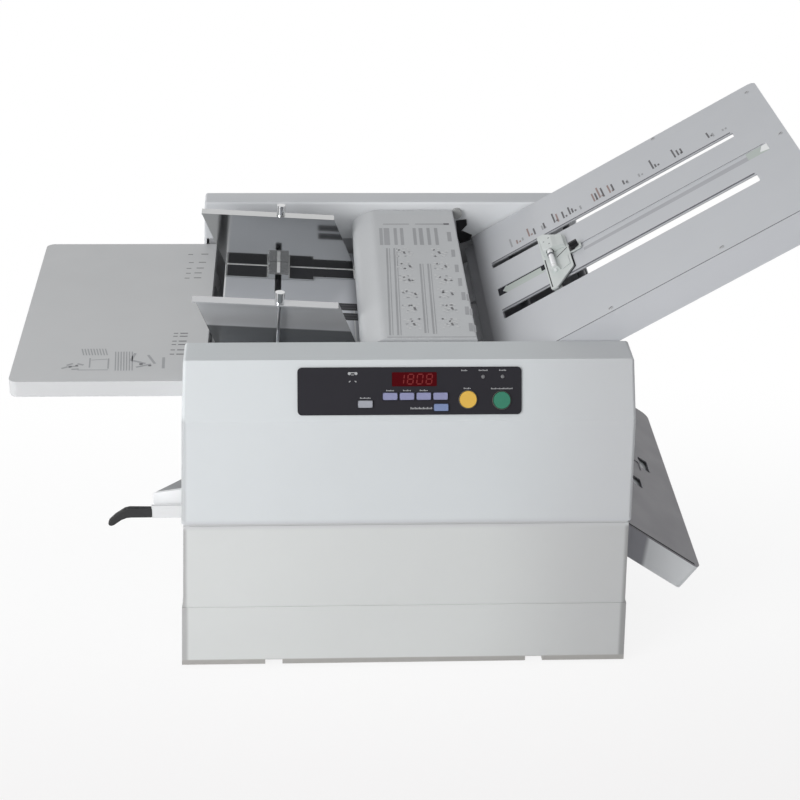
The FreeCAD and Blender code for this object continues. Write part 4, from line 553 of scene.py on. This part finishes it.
def disc(x, y, radius, count):
    out = []
    for i in range(count):
        angle = math.tau * i / count
        out.append((x + radius * math.cos(angle), y + radius * math.sin(angle)))
    return out


def block_outline(x0, y0, x1, y1):
    return [(x0, y0), (x1, y0), (x1, y1), (x0, y1)]


def lathe_rings(form, place, profile, count):
    """A ring of corners about the place's Z for each (radius, height) of a profile, in millimetres."""
    rings = []
    for radius, height in profile:
        ring = []
        for i in range(count):
            angle = math.tau * i / count
            ring.append(form.verts.new(on(place, radius * math.cos(angle), radius * math.sin(angle), height)))
        rings.append(ring)
    return rings


def join_rings(form, below, above, smooth):
    """Four-sided faces between two loops of corners."""
    for i in range(len(below)):
        j = (i + 1) % len(below)
        form.faces.new((below[i], below[j], above[j], above[i])).smooth = smooth


def lathe(name, place, profile, material, body, count=24):
    """A turned piece, closed at both ends, from an open profile."""
    form = bmesh.new()
    rings = lathe_rings(form, place, profile, count)
    for below, above in zip(rings, rings[1:]):
        join_rings(form, below, above, True)
    form.faces.new(rings[-1])
    form.faces.new(list(reversed(rings[0])))
    return finish_piece(name, form, material, body)


def hoop(name, place, profile, material, body, count=40):
    """A turned ring, from a closed profile."""
    form = bmesh.new()
    rings = lathe_rings(form, place, profile, count)
    for below, above in zip(rings, rings[1:] + rings[:1]):
        join_rings(form, below, above, True)
    bmesh.ops.recalc_face_normals(form, faces=form.faces)
    return finish_piece(name, form, material, body)


def slab(name, place, outline, low, high, material, body, edge):
    """A solid plate of an outline in millimetres between two heights, with its edges broken."""
    form = bmesh.new()
    bottom, top = ([form.verts.new(on(place, x, y, height)) for x, y in outline] for height in (low, high))
    form.faces.new(list(reversed(bottom)))
    form.faces.new(top)
    join_rings(form, bottom, top, False)
    bmesh.ops.recalc_face_normals(form, faces=form.faces)
    made = finish_piece(name, form, material, body)
    break_edges(made, edge)
    return made


def screw(name, place, x, y, radius, body):
    """A low screw head with a slot across it."""
    spot = place @ shifted(x, y, 0)
    profile = [(radius, 0.05), (radius, 0.2), (radius * 0.8, 0.55), (radius * 0.3, 0.65)]
    lathe(name, spot, profile, zinc, body)
    marks(f"{name}_slot", spot, [bar(0, 0, radius * 1.5, 0.8, 35)], seam_black, body, lift=0.72)


# ------------------------------------------------------------------ display and panel

# The seven strokes of a digit, by their ends on a grid one wide and two high.
SEGMENTS = {
    "a": ((0, 2), (1, 2)),
    "b": ((1, 2), (1, 1)),
    "c": ((1, 1), (1, 0)),
    "d": ((0, 0), (1, 0)),
    "e": ((0, 1), (0, 0)),
    "f": ((0, 2), (0, 1)),
    "g": ((0, 1), (1, 1)),
}
DIGITS = {"0": "abcdef", "1": "bc", "8": "abcdefg"}
SHOWN_DIGITS = "1808"
DIGIT_LEFT = -13.5
DIGIT_FOOT = 40.6
DIGIT_PITCH = 10.2
DIGIT_WIDTH = 6.0
DIGIT_STEP = 5.3
DIGIT_STROKE = 1.3
DIGIT_LEAN = 0.12
DIGIT_LIFT = 1.3

# Keys and their captions on the leaning panel, in millimetres from its foot and the machine's middle.
MODE_LEFT = -22
MODE_PITCH = 18.3
MODE_Y = 27.3
LABEL_LIFT = 1.58
KEY_LABEL_LIFT = 2.28
ICON_X = -62.6
LAMPS_Y = 48.2
RIM_PROFILE = [(9.7, 1.45), (9.7, 2.2), (10.0, 2.5), (10.3, 2.2), (10.3, 1.45)]
LAMP_PROFILE = [(2.1, 0), (2.1, 0.5), (1.6, 0.9), (0.6, 1.1)]


def segment(start, end, x, y):
    """One stroke of a digit whose foot is at x, y: pointed at both ends and leaning with the digit."""
    (u0, v0), (u1, v1) = start, end
    x0, y0 = x + u0 * DIGIT_WIDTH, y + v0 * DIGIT_STEP
    x1, y1 = x + u1 * DIGIT_WIDTH, y + v1 * DIGIT_STEP
    length = math.hypot(x1 - x0, y1 - y0)
    ux, uy = (x1 - x0) / length, (y1 - y0) / length
    gap = DIGIT_STROKE * 0.3
    half = DIGIT_STROKE / 2
    outline = [
        (gap, 0),
        (gap + half, half),
        (length - gap - half, half),
        (length - gap, 0),
        (length - gap - half, -half),
        (gap + half, -half),
    ]
    out = []
    for along, across in outline:
        px = x0 + ux * along - uy * across
        py = y0 + uy * along + ux * across
        out.append((px + (py - y) * DIGIT_LEAN, py))
    return out


def display():
    """Four lit digits behind the window."""
    shapes = []
    for i, digit in enumerate(SHOWN_DIGITS):
        for key in DIGITS[digit]:
            shapes.append(segment(*SEGMENTS[key], DIGIT_LEFT + DIGIT_PITCH * i, DIGIT_FOOT))
    marks("display_digits", PANEL, shapes, digit_glow, "chassis", lift=DIGIT_LIFT)


def words(x, y, width, height=1.5):
    """Short strokes where a panel has a word."""
    count = max(2, round(width / 1.5))
    step = width / count
    out = []
    for i in range(count):
        tall = height * (0.7 if i % 3 else 1.0)
        out.append(bar(x - width / 2 + step * (i + 0.5), y - (height - tall) / 2, step * 0.6, tall))
    return out


def panel_labels():
    """Rows of short strokes where the panel has its labels, and two small icons."""
    shapes = words(-49, 25.6, 12)
    for i in range(3):
        shapes += words(MODE_LEFT + MODE_PITCH * i, 33.6, 9)
    shapes += words(12, 14.2, 24, 2.2)
    for x, y, width in ((62, 35.6, 8), (99.8, 35.2, 24), (58.8, 55.2, 7), (79.5, 55.2, 10), (100.8, 55.2, 8)):
        shapes += words(x, y, width)
    for side in (-1, 1):
        shapes.append(disc(ICON_X + 3.6 * side, 52.3, 1.7, 10))
        shapes.append(bar(ICON_X + 3.2 * side, 43.6, 2.2, 0.9, -35 * side))
    shapes.append(bar(ICON_X, 53.2, 5, 0.9))
    shapes.append(bar(ICON_X, 50.8, 3, 0.7))
    marks("panel_labels", PANEL, shapes, white_ink, "chassis", lift=LABEL_LIFT)


def panel_trims():
    """Status lamps, the rims of the round keys, and the strokes on the small keys."""
    for i, x in enumerate((79.5, 100.8)):
        lamp = PANEL @ shifted(x, LAMPS_Y, 1.4)
        lathe(f"status_lamp_{i + 1}", lamp, LAMP_PROFILE, lamp_off, "chassis")
    for name, x, y in (("stop", 63, 23.5), ("start", 99.8, 22.5)):
        hoop(f"{name}_key_rim", PANEL @ shifted(x, y, 0), RIM_PROFILE, pale_rim, "chassis")
    mode_places = [(key, MODE_LEFT + MODE_PITCH * i, MODE_Y) for i, key in enumerate(MODE_KEYS)]
    for name, x, y in (("select_key", -49, 19), *mode_places, ("set_key", 33.5, 15)):
        marks(f"{name}_label", PANEL, words(x, y, 10, 2.6), lamp_off, name, lift=KEY_LABEL_LIFT)


# ------------------------------------------------------------------ prints on the paper side

FRONT_TICKS = (196, 188, 175, 166, 152, 141)
REAR_TICKS = ((428, -258, -240), (402, -256, -242), (384, -258, -244), (369, -258, -246), (354, -259, -246))
TICK_DRIFT = 0.03
# Strokes of the small generic drawing on the tray: middle, width, height, turn.
TRAY_STROKES = (
    (-352, 102, 34, 1.6, 0),
    (-357, 120, 1.6, 24, 3),
    (-336, 118, 1.6, 26, 3),
    (-347, 128, 18, 1.4, 8),
    (-303, 122, 20, 3.2, -28),
    (-296, 112, 18, 3.0, 25),
    (-288, 128, 3.0, 24, 22),
    (-309, 136, 3, 16, -12),
)
TRAY_DASHES = ((-379, 116), (-373, 111), (-367, 116), (-384, 108), (-372, 104))
TRAY_DOTS = ((-378, 110, 2.2), (-371, 113, 1.8), (-299, 116, 2.4), (-289, 112, 2.0))


def hatch(x, y, width, height, count, lean=12):
    """A patch of slanting strokes."""
    out = []
    for i in range(count):
        across = x + width * (i + 0.5) / count
        out.append(bar(across, y + height / 2, width / count * 0.42, height, lean))
    return out


def tray_prints():
    """Width ticks in two rows and a patch of small generic marks near the front edge."""
    shapes = []
    for y in FRONT_TICKS:
        drift = (FRONT_TICKS[0] - y) * TICK_DRIFT
        shapes.append(bar(-264 - drift, y, 5, 2.0))
        shapes.append(bar(-254.5 - drift, y, 9, 2.4))
    for y, left, right in REAR_TICKS:
        shapes.append(bar(left, y, 6, 1.8))
        shapes.append(bar(right, y + 1, 9, 2.0))
    marks("tray_width_ticks", TRAY, shapes, ink, "tray")
    shapes = hatch(-369, 139, 30, 17, 9) + hatch(-330, 100, 22, 48, 7, 4)
    shapes.append(bar(-274, 119, 3.2, 28, 2))
    for i, (x, y) in enumerate(TRAY_DASHES):
        shapes.append(bar(x, y, 8, 3.0, 35 - 30 * (i % 3)))
    shapes += [bar(*stroke) for stroke in TRAY_STROKES]
    marks("tray_generic_marks", TRAY, shapes, faint_ink, "tray")
    dots = [disc(x, y, radius, 8) for x, y, radius in TRAY_DOTS]
    marks("tray_generic_dots", TRAY, dots, ink, "tray", lift=0.16)


# The generic table on the lid: the middle and height of its header bars, their columns (place and width), the
# long rules (place, start and end), the strokes at the side and the clusters of marks.
HEADER_Y = 371
HEADER_TALL = 54
HEADER_COLUMNS = ((9, 4), (16, 7), (27, 4), (35, 4), (51, 4), (59, 5), (68.5, 4), (78, 4))
LONG_RULES = ((11, 88, 334), (20, 88, 334), (50, 93, 286), (59.3, 91, 286))
SIDE_STROKES = (318, 272, 232, 192, 152, 108)
CLUSTER_COLUMNS = (26, 69)
CLUSTER_ROWS = (322, 280, 240, 200, 160, 118)
CLUSTER_WIDTH = 19
CLUSTER_HEIGHT = 26


def lid_marks(name, shapes, material, lift=PRINT_LIFT):
    marks(name, LID, shapes, material, "lid", lift)


def lid_table():
    """Header rules and bars, long double rules and a column of strokes."""
    shapes = [bar(29.5, 411, 33, 2.6), bar(72, 411, 37, 2.6)]
    for x, width in HEADER_COLUMNS:
        shapes.append(bar(x, HEADER_Y, width, HEADER_TALL, -1))
    shapes.append(bar(94, HEADER_Y - 1, 5, 30, -1))
    for x, start, end in LONG_RULES:
        middle = (start + end) / 2
        shapes.append(bar(x, middle, 2.2, end - start, -1.6))
        shapes.append(bar(x + 3.2, middle, 0.9, end - start, -1.6))
    for i, y in enumerate(SIDE_STROKES):
        shapes.append(bar(95 + i * 0.9, y, 4.5, 22, -2))
        if i > 2:
            shapes.append(bar(101 + i * 0.5, y - 4, 3.0, 18, -2))
    shapes.append(bar(54, 83, 100, 1.6))
    lid_marks("lid_generic_table", shapes, lid_ink)


def lid_clusters():
    """Clusters of small marks in three tones, scattered by plain remainders so that they stay the same."""
    dark = [bar(93, 411, 7, 5)]
    middle = []
    pale = []
    for column, x in enumerate(CLUSTER_COLUMNS):
        for row, y in enumerate(CLUSTER_ROWS):
            foot = y - CLUSTER_HEIGHT // 2
            for k in range(12):
                px = x + (k * 7 + row * 3) % CLUSTER_WIDTH
                py = foot + (k * 11 + column * 5 + row * 7) % CLUSTER_HEIGHT
                pale.append(bar(px, py, 2.4 + k % 3, 3.4, 25 * (k % 4)))
            dark.append(bar(x + 9 + (row * 5) % 8, y - 2, 2.6, 7, 10))
            dark.append(bar(x + 3 + (row * 7) % 6, y + 6, 2.0, 4, -20))
            for k in range(5):
                px = x + (k * 5 + row * 7 + column * 3) % CLUSTER_WIDTH
                py = foot + (k * 13 + row * 5) % CLUSTER_HEIGHT
                middle.append(bar(px, py, 3.2, 2.6, 30 * k))
    lid_marks("lid_middle_marks", middle, lid_ink, 0.12)
    lid_marks("lid_pale_marks", pale, pale_ink_and_highlight, 0.14)
    lid_marks("lid_dark_marks", dark, ink, 0.18)


# ------------------------------------------------------------------ fold plates

# Strokes of the length scale: distance along the plate, height, and tone.
DARK, FAINT, WARM = range(3)
SCALE = (
    (64.8, 26, FAINT), (73, 12, WARM), (81, 9, FAINT), (90, 26, WARM), (98, 20, DARK),
    (109, 14, FAINT), (112, 18, DARK), (126, 30, DARK), (131, 26, WARM), (139, 22, DARK),
    (148, 24, DARK), (152, 14, DARK), (163, 12, FAINT), (182, 26, WARM), (186, 22, DARK),
    (190, 34, WARM), (195, 30, DARK), (204, 26, WARM), (209, 22, DARK), (224, 14, DARK),
    (229, 12, FAINT), (245, 10, FAINT), (264, 30, DARK), (268, 10, DARK), (294, 28, DARK),
    (299, 18, DARK), (304, 16, DARK), (341, 18, DARK), (347, 12, FAINT), (360, 6, FAINT),
)
SCALE_FOOT = 368
SCALE_PRINTS = (
    ("upper_scale", DARK, dark_ink),
    ("upper_scale_faint", FAINT, faint_ink),
    ("upper_scale_warm", WARM, warm_ink),
)

# The guide groove of the upper plate: its two sides, its floor and its start. Then both ends of the slots.
GROOVE_NEAR = 255.6
GROOVE_FAR = 276.4
GROOVE_FLOOR = -0.72
GROOVE_START = 34.3
SLOT_START = 34
SLOT_END = 366
PLATE_SEAM_Y = 74.0
PLATE_SCREWS = ((157, 84), (295, 87), (408, 440), (415, 280), (279, 456))


def upper_marks(name, shapes, material, lift):
    marks(name, UPPER, shapes, material, "upper_plate", lift)


def scale_ticks():
    """Length scale along the rear slot: uneven strokes in three tones, with small marks at their feet."""
    tones = {DARK: [], FAINT: [], WARM: []}
    for i, (x, tall, tone) in enumerate(SCALE):
        foot = SCALE_FOOT + (i * 5) % 4
        tones[tone].append(bar(x, foot + tall / 2, 2.2, tall, 2))
        if i % 2:
            tones[tone].append(bar(x + 4, foot + 3, 2.4, 5))
    for name, tone, material in SCALE_PRINTS:
        upper_marks(name, tones[tone], material, PRINT_LIFT)


def groove_finish():
    """Tints of the guide groove's floor with a band of painted shade, its dark ends, painted shade along the
    far lips of the groove and of the two slots, and a painted highlight at the groove's far end.
    """
    near = [block_outline(42, GROOVE_NEAR, 96, GROOVE_FAR)]
    upper_marks("groove_near_floor", near, groove_tint, GROOVE_FLOOR)
    band = [[(150, 256.0), (368, 256.0), (368, 268.5), (150, 264.5)]]
    upper_marks("groove_shade_band", band, soft_band, GROOVE_FLOOR)
    notch = [
        (GROOVE_START, GROOVE_NEAR),
        (46, GROOVE_NEAR),
        (40, 266),
        (46, GROOVE_FAR),
        (GROOVE_START, GROOVE_FAR),
    ]
    dark = [notch, block_outline(93, 262, 98, GROOVE_FAR), block_outline(46, 273.4, 93, GROOVE_FAR)]
    upper_marks("groove_dark_ends", dark, seam_black, GROOVE_FLOOR + 0.05)
    # Painted shade: dark strips along the far lips, whose walls face the light.
    lips = [
        block_outline(142, 277.2, 392, 278.4),
        block_outline(SLOT_START, 352.3, SLOT_END, 355.2),
        block_outline(SLOT_START, 214.3, SLOT_END, 218.0),
    ]
    upper_marks("far_lip_shade_marks", lips, seam_grey, 0.06)
    green = [block_outline(368, 256, 395.5, GROOVE_FAR)]
    upper_marks("groove_far_floor", green, groove_tint, GROOVE_FLOOR + 0.02)
    # Painted highlight: a near-white patch where light shows at the far end of the groove.
    pale = [[(384, 262), (395.5, 258), (395.5, GROOVE_FAR), (389, GROOVE_FAR)]]
    upper_marks("groove_end_highlight", pale, painted_highlight_tone, GROOVE_FLOOR + 0.05)


def plate_trims():
    """Seam lines along the front edges of both plates, and the fixing screws of the upper one."""
    edge = [block_outline(30, PLATE_SEAM_Y, 414, PLATE_SEAM_Y + 1.6)]
    upper_marks("upper_seam_line", edge, seam_grey, 0.05)
    for i, (x, y) in enumerate(PLATE_SCREWS):
        screw(f"upper_screw_{i + 1}", UPPER, x, y, 3.2, "upper_plate")
    edge = [block_outline(24, PLATE_SEAM_Y, 288, PLATE_SEAM_Y + 3.4)]
    marks("lower_seam_line", LOWER, edge, seam_black, "lower_plate", lift=0.05)


# ------------------------------------------------------------------ paper stop, rear wall and seam

STOP_TOP = 2.3
BRIDGE_WIDTH = 32
BRIDGE_BACK = 319
BRIDGE_ARCH = (
    (101.6, 0), (101.6, 6.4), (104.4, 8.9), (117.4, 8.9), (122.4, 6.6), (130.6, 4.4), (130.6, 0),
    (115.4, 0), (115.4, 4.6), (113.4, 7.2), (108.6, 7.2), (106.6, 4.6), (106.6, 0),
)
BRIDGE_TOP = STOP_TOP + 8.95
LOWER_BOSS = ((118, 232), (130, 236), (130, 262), (118, 254))
# Outline of the painted shadow along the upper stop's far edge.
FAR_EDGE_SHADOW_OUTLINE = ((133.2, 262), (134.8, 262), (134.8, 227.0), (108.6, 194.6), (107.2, 195.8), (133.2, 228.0))
COLLAR_PROFILE = [(3.42, -1.6), (4.1, -1.2), (4.1, 1.2), (3.42, 1.6)]
BRACKET = ((83.6, 370), (97, 371.7), (98, 364), (91, 356), (105, 350), (103, 343), (90, 338), (86, 346))


def stop_marks(name, shapes, material, lift):
    marks(name, UPPER, shapes, material, "upper_carriage", lift)


def stop_slab(name, place, outline, low, high, material, edge):
    slab(name, place, outline, low, high, material, "upper_carriage", edge)


def stop_finish():
    """Arched bridge, boss, slits, a painted shadow along the far edge, and tab of the upper stop, and the
    collar of its bar.
    """
    arch = UPPER @ shifted(0, BRIDGE_BACK, STOP_TOP + 0.05) @ turned(90, "X")
    stop_slab("stop_bridge", arch, BRIDGE_ARCH, 0, BRIDGE_WIDTH, stop_paint, 0.5)
    stop_slab("stop_lower_boss", UPPER, LOWER_BOSS, STOP_TOP, STOP_TOP + 0.9, stop_paint, 0.4)
    slits = [bar(124, 276, 20, 1.4, 38), bar(101.2, 240, 1.2, 78)]
    stop_marks("stop_slits", slits, seam_black, STOP_TOP + 0.06)
    dots = [disc(114, 297, 1.1, 10), disc(108, 309, 1.0, 10), disc(115, 313, 1.2, 10)]
    stop_marks("stop_bridge_dots", dots, seam_grey, BRIDGE_TOP + 0.07)
    # Painted shadow: a dark strip along the stop's far edge, where it stands off the plate.
    stop_marks("stop_far_edge_shadow", [FAR_EDGE_SHADOW_OUTLINE], seam_black, 0.5)
    middle = UPPER @ shifted(111, 274, 6.4) @ turned(90, "X")
    hoop("stop_bar_collar", middle, COLLAR_PROFILE, seam_grey, "upper_trim")
    tab = block_outline(133.6, 266, 140.5, 282)
    stop_slab("stop_tab_cover", UPPER, tab, STOP_TOP + 0.02, STOP_TOP + 0.18, black, 0.06)


def rear_wall_finish():
    """Small dark bracket beside the pressure knob."""
    slab("knob_bracket", REAR_WALL, BRACKET, 0.05, 1.8, black, "chassis", 0.4)


# The lip under the seam: its front and back, how far below the seam it starts, its height, and its distance
# from the sides of the lower cover.
LIP_FRONT = 5.8
LIP_BACK = 8.8
LIP_DROP = 6
LIP_HEIGHT = 5.8
LIP_INSET = 9


def cover_seam():
    """Lip on the ledge of the lower front cover, which closes the dark seam under the upper one; its grey, a
    little darker than the covers, paints a soft band of shade there.
    """
    half = (SKIRT_HIGH.x - SKIRT_LOW.x) * 500 - LIP_INSET
    place = tilted(0, 0, SEAM_Z - LIP_DROP, 0, "Z")
    outline = block_outline(-half, LIP_FRONT, half, LIP_BACK)
    slab("cover_seam_lip", place, outline, 0, LIP_HEIGHT, seam_lip, "chassis", 0.3)


# ------------------------------------------------------------------ lever

# The lever's outline seen from the front, in millimetres from the casing's middle and the desk.
PIVOT_X = -150
PIVOT_Z = 296
EYE_RADIUS = 10
LEVER_Y = 80
BAR_THICKNESS = 4
HANDLE_Y = 81.2
HANDLE_THICKNESS = 6.4
CRANK = [
    (-160, 289), (-163, 282), (-219, 184), (-225, 178), (-233, 175), (-291.5, 175), (-291.5, 170), (-309, 170),
    (-309, 163), (-291.5, 163), (-291.5, 159), (-224, 159), (-215, 161), (-207, 168), (-146, 272), (-140, 284),
]
HANDLE = [
    (-291, 159.8), (-291, 172.4), (-317, 172.9), (-322.5, 171.4), (-333.3, 163.8), (-340.6, 156.4),
    (-342.3, 152.2), (-341.4, 149.4), (-338.6, 148.8), (-335.4, 149.8), (-326.5, 156.6), (-320.5, 159.2),
    (-315, 159.8),
]


def lever():
    """The lever's flat bar with a narrow tang at its end, and the slim moulded handle on the tang."""
    eye = []
    for degrees in range(0, 181, 15):
        angle = math.radians(degrees)
        eye.append((PIVOT_X + EYE_RADIUS * math.cos(angle), PIVOT_Z + EYE_RADIUS * math.sin(angle)))
    place = tilted(0, LEVER_Y, 0, 90, "X")
    made = slab("lever_bar", place, eye + CRANK, 0, BAR_THICKNESS, bright_zinc, "lever", 0.4)
    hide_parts("lever_arm")
    place = tilted(0, HANDLE_Y, 0, 90, "X")
    made = slab("lever_handle", place, HANDLE, 0, HANDLE_THICKNESS, grip_black, "lever", 1.5)
    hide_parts("lever_grip")


# ------------------------------------------------------------------ table and side guides

# The foot of a side guide: how far its narrow end and its wide part reach inwards from the wall, and where its
# clamping block lies along the table.
FOOT_STEP = 28
FOOT_REACH = 37
BLOCK_START = 54.6
BLOCK_END = 79.4
FOOT_TOP = 1.9
BLOCK_TOP = 7.9
# Front and rear guide: place of the wall, way inwards, and how far the lining stays off the wall's line.
GUIDES = (("front", 156, 1, 1.4), ("rear", 403, -1, 0.4))
PAD_STRIPES = (255.5, 283.5)


def foot_finish(side, wall, inward, gap):
    """Dark lining of a guide's foot, a painted highlight along its edge, and the cap of its block with a
    painted highlight line on it.
    """
    body = f"{side}_guide"
    near = wall + gap * inward
    step = wall + FOOT_STEP * inward
    end = wall + FOOT_REACH * inward

    def strip(x0, x1, reach):
        low, high = sorted((near, reach))
        return block_outline(x0, low, x1, high)

    for part, x0, x1, reach in (("a", 3, 52.5, end), ("b", 81.5, 111, end), ("c", 111, 162, step)):
        outline = strip(x0, x1, reach - 0.8 * inward)
        name = f"{side}_foot_lining_{part}"
        slab(name, TABLE, outline, FOOT_TOP - 0.34, FOOT_TOP, lining, body, 0.1)
    # Painted highlights: bright strips along the edges of the foot lining.
    edge = near + 1.5 * inward
    lines = [strip(2, 54, edge), strip(80, 163, edge), strip(162.2, 163.8, step - 0.5 * inward)]
    marks(f"{side}_foot_edge_highlight", TABLE, lines, painted_highlight_tone, body, lift=FOOT_TOP + 0.06)
    cap = strip(BLOCK_START, BLOCK_END, end - 1.0 * inward)
    slab(f"{side}_block_cap", TABLE, cap, BLOCK_TOP - 0.58, BLOCK_TOP, ground, body, 0.3)
    # Painted highlight: a pale line on top of the clamping block.
    line = [strip(65, 69, end - 3.0 * inward)]
    marks(f"{side}_block_top_highlight", TABLE, line, pale_ink_and_highlight, body, lift=BLOCK_TOP + 0.06)


def table_finish():
    """Trims of both guides' feet, painted highlights along the table's edges and the two stripes of each pad.
    """
    for guide in GUIDES:
        foot_finish(*guide)
    # Painted highlights: near-white lines along the table's left and right edges.
    edges = [
        block_outline(0.3, TABLE_FRONT + 3, 2.2, TABLE_BACK - 3),
        block_outline(159.4, TABLE_FRONT + 20, 160.9, 300),
    ]
    marks("table_edge_highlight", TABLE, edges, painted_highlight_tone, "table", lift=0.08)
    stripes = []
    for y in PAD_STRIPES:
        stripes.append(bar(142, y + 6, 42, 1.2))
        stripes.append(bar(142, y + 14, 42, 1.2))
    marks("pad_stripes", TABLE, stripes, seam_grey, "table", lift=0.14)


def build_machine():
    dress_nodes()
    display()
    panel_labels()
    panel_trims()
    tray_prints()
    lid_table()
    lid_clusters()
    scale_ticks()
    groove_finish()
    plate_trims()
    stop_finish()
    rear_wall_finish()
    table_finish()
    cover_seam()
    lever()


# ------------------------------------------------------------------ studio

# Camera fitted to the photograph: the point it looks at in millimetres, its distance in metres, its pitch, yaw
# and roll in degrees, its lens and film in millimetres, and how far it sees in metres.
CAMERA_TARGET = (-2.76, 150, 272.35)
CAMERA_DISTANCE = 2.2253
CAMERA_ANGLES = (27.675, 3.416, 1.243)
CAMERA_LENS = 85.5
CAMERA_FILM = 36
CAMERA_CLIP = 60

# Softboxes: place, target and size in metres, and power in watts.
SOFTBOXES = (
    ("left_front_softbox", (-1.5, -1.7, 0.9), (0, 0, 0.25), (1.5, 1.1), 22),
    ("high_left_softbox", (-1.9, -1.7, 1.75), (0, 0.1, 0.3), (1.3, 1.3), 18),
    ("rear_softbox", (-1.3, 2.7, 0.45), (0, 0.2, 0.25), (2.2, 0.5), 9),
)

FLOOR_LEFT, FLOOR_RIGHT = -8, 8
FLOOR_FRONT, FLOOR_BACK = -6, 12
FLOOR_Z = -0.0005


def camera():
    data = bpy.data.cameras.new("camera")
    data.lens = CAMERA_LENS
    data.sensor_width = CAMERA_FILM
    data.clip_end = CAMERA_CLIP
    made = bpy.data.objects.new("camera", data)
    bpy.context.scene.collection.objects.link(made)
    pitch, yaw, roll = (math.radians(a) for a in CAMERA_ANGLES)
    forward = Vector((math.sin(yaw) * math.cos(pitch), math.cos(yaw) * math.cos(pitch), -math.sin(pitch)))
    right = Vector((math.cos(yaw), -math.sin(yaw), 0))
    up = right.cross(forward)
    across = right * math.cos(roll) + up * math.sin(roll)
    above = up * math.cos(roll) - right * math.sin(roll)
    turn = Matrix((across, above, -forward)).transposed().to_4x4()
    made.matrix_world = Matrix.Translation(at(*CAMERA_TARGET) - forward * CAMERA_DISTANCE) @ turn
    bpy.context.scene.camera = made


def area_light(name, place, target, size, power):
    data = bpy.data.lights.new(name, "AREA")
    data.shape = "RECTANGLE"
    data.size, data.size_y = size
    data.energy = power
    made = bpy.data.objects.new(name, data)
    bpy.context.scene.collection.objects.link(made)
    made.location = place
    made.rotation_mode = "QUATERNION"
    made.rotation_quaternion = (Vector(target) - Vector(place)).to_track_quat("-Z", "Y")


def floor_material():
    """Pale floor that keeps the shadow: lit by the lamps, and partly glowing to the camera and to mirrors."""
    n = Nodes("studio_floor")
    diffuse = n.add("ShaderNodeBsdfDiffuse")
    tone = n.along(DESK, "Y", -620, -60)
    n.join(n.blend(tone, linear(240, 239, 240), linear(250, 250, 250)), diffuse.inputs["Color"])
    glow = n.add("ShaderNodeEmission")
    n.join(n.blend(tone, linear(247, 246, 246), linear(255, 255, 255)), glow.inputs["Color"])
    rays = n.add("ShaderNodeLightPath")
    seen = n.combined("MAXIMUM", rays.outputs["Is Camera Ray"], rays.outputs["Is Glossy Ray"])
    depth = n.ranged(n.along(DESK, "Y", -150, 500), 0, 1, 0.88, 1.0)
    part = n.combined("MULTIPLY", seen, depth)
    n.join(n.chosen(part, diffuse.outputs["BSDF"], glow.outputs["Emission"]), n.output.inputs["Surface"])
    return n.material


def floor():
    """A pale sweep: white behind, light grey in front, with the object's shadow on it."""
    form = bmesh.new()
    for x, y in block_outline(FLOOR_LEFT, FLOOR_FRONT, FLOOR_RIGHT, FLOOR_BACK):
        form.verts.new((x, y, FLOOR_Z))
    form.faces.new(form.verts)
    mesh = mesh_of("floor", form)
    made = bpy.data.objects.new("floor", mesh)
    bpy.context.scene.collection.objects.link(made)
    mesh.materials.append(floor_material())


def world():
    """Even soft light; what shines sees a pale backdrop behind the object and a dimmer room in front."""
    made = bpy.data.worlds.new("studio")
    bpy.context.scene.world = made
    n = Tree(made)

    def light(strength, color=None):
        node = n.add("ShaderNodeBackground")
        node.inputs["Strength"].default_value = strength
        if color:
            node.inputs["Color"].default_value = color
        return node

    ambient = light(0.42, (0.98, 0.99, 1.0, 1))
    backdrop = light(1.0, (1, 1, 1, 1))
    shine = light(1.0)
    where = n.add("ShaderNodeTexCoord")
    split = n.add("ShaderNodeSeparateXYZ")
    n.join(where.outputs["Generated"], split.inputs["Vector"])
    behind = n.ranged(split.outputs["Y"], -0.2, 0.5)
    n.join(n.blend(behind, (0.38, 0.385, 0.39, 1), (0.82, 0.82, 0.82, 1)), shine.inputs["Color"])
    rays = n.add("ShaderNodeLightPath")
    lit = n.chosen(rays.outputs["Is Glossy Ray"], ambient.outputs["Background"], shine.outputs["Background"])
    shown = n.chosen(rays.outputs["Is Camera Ray"], lit, backdrop.outputs["Background"])
    output = n.add("ShaderNodeOutputWorld")
    n.join(shown, output.inputs["Surface"])


build_machine()
camera()
floor()
world()
for softbox in SOFTBOXES:
    area_light(*softbox)
bpy.context.scene.view_settings.view_transform = "Standard"
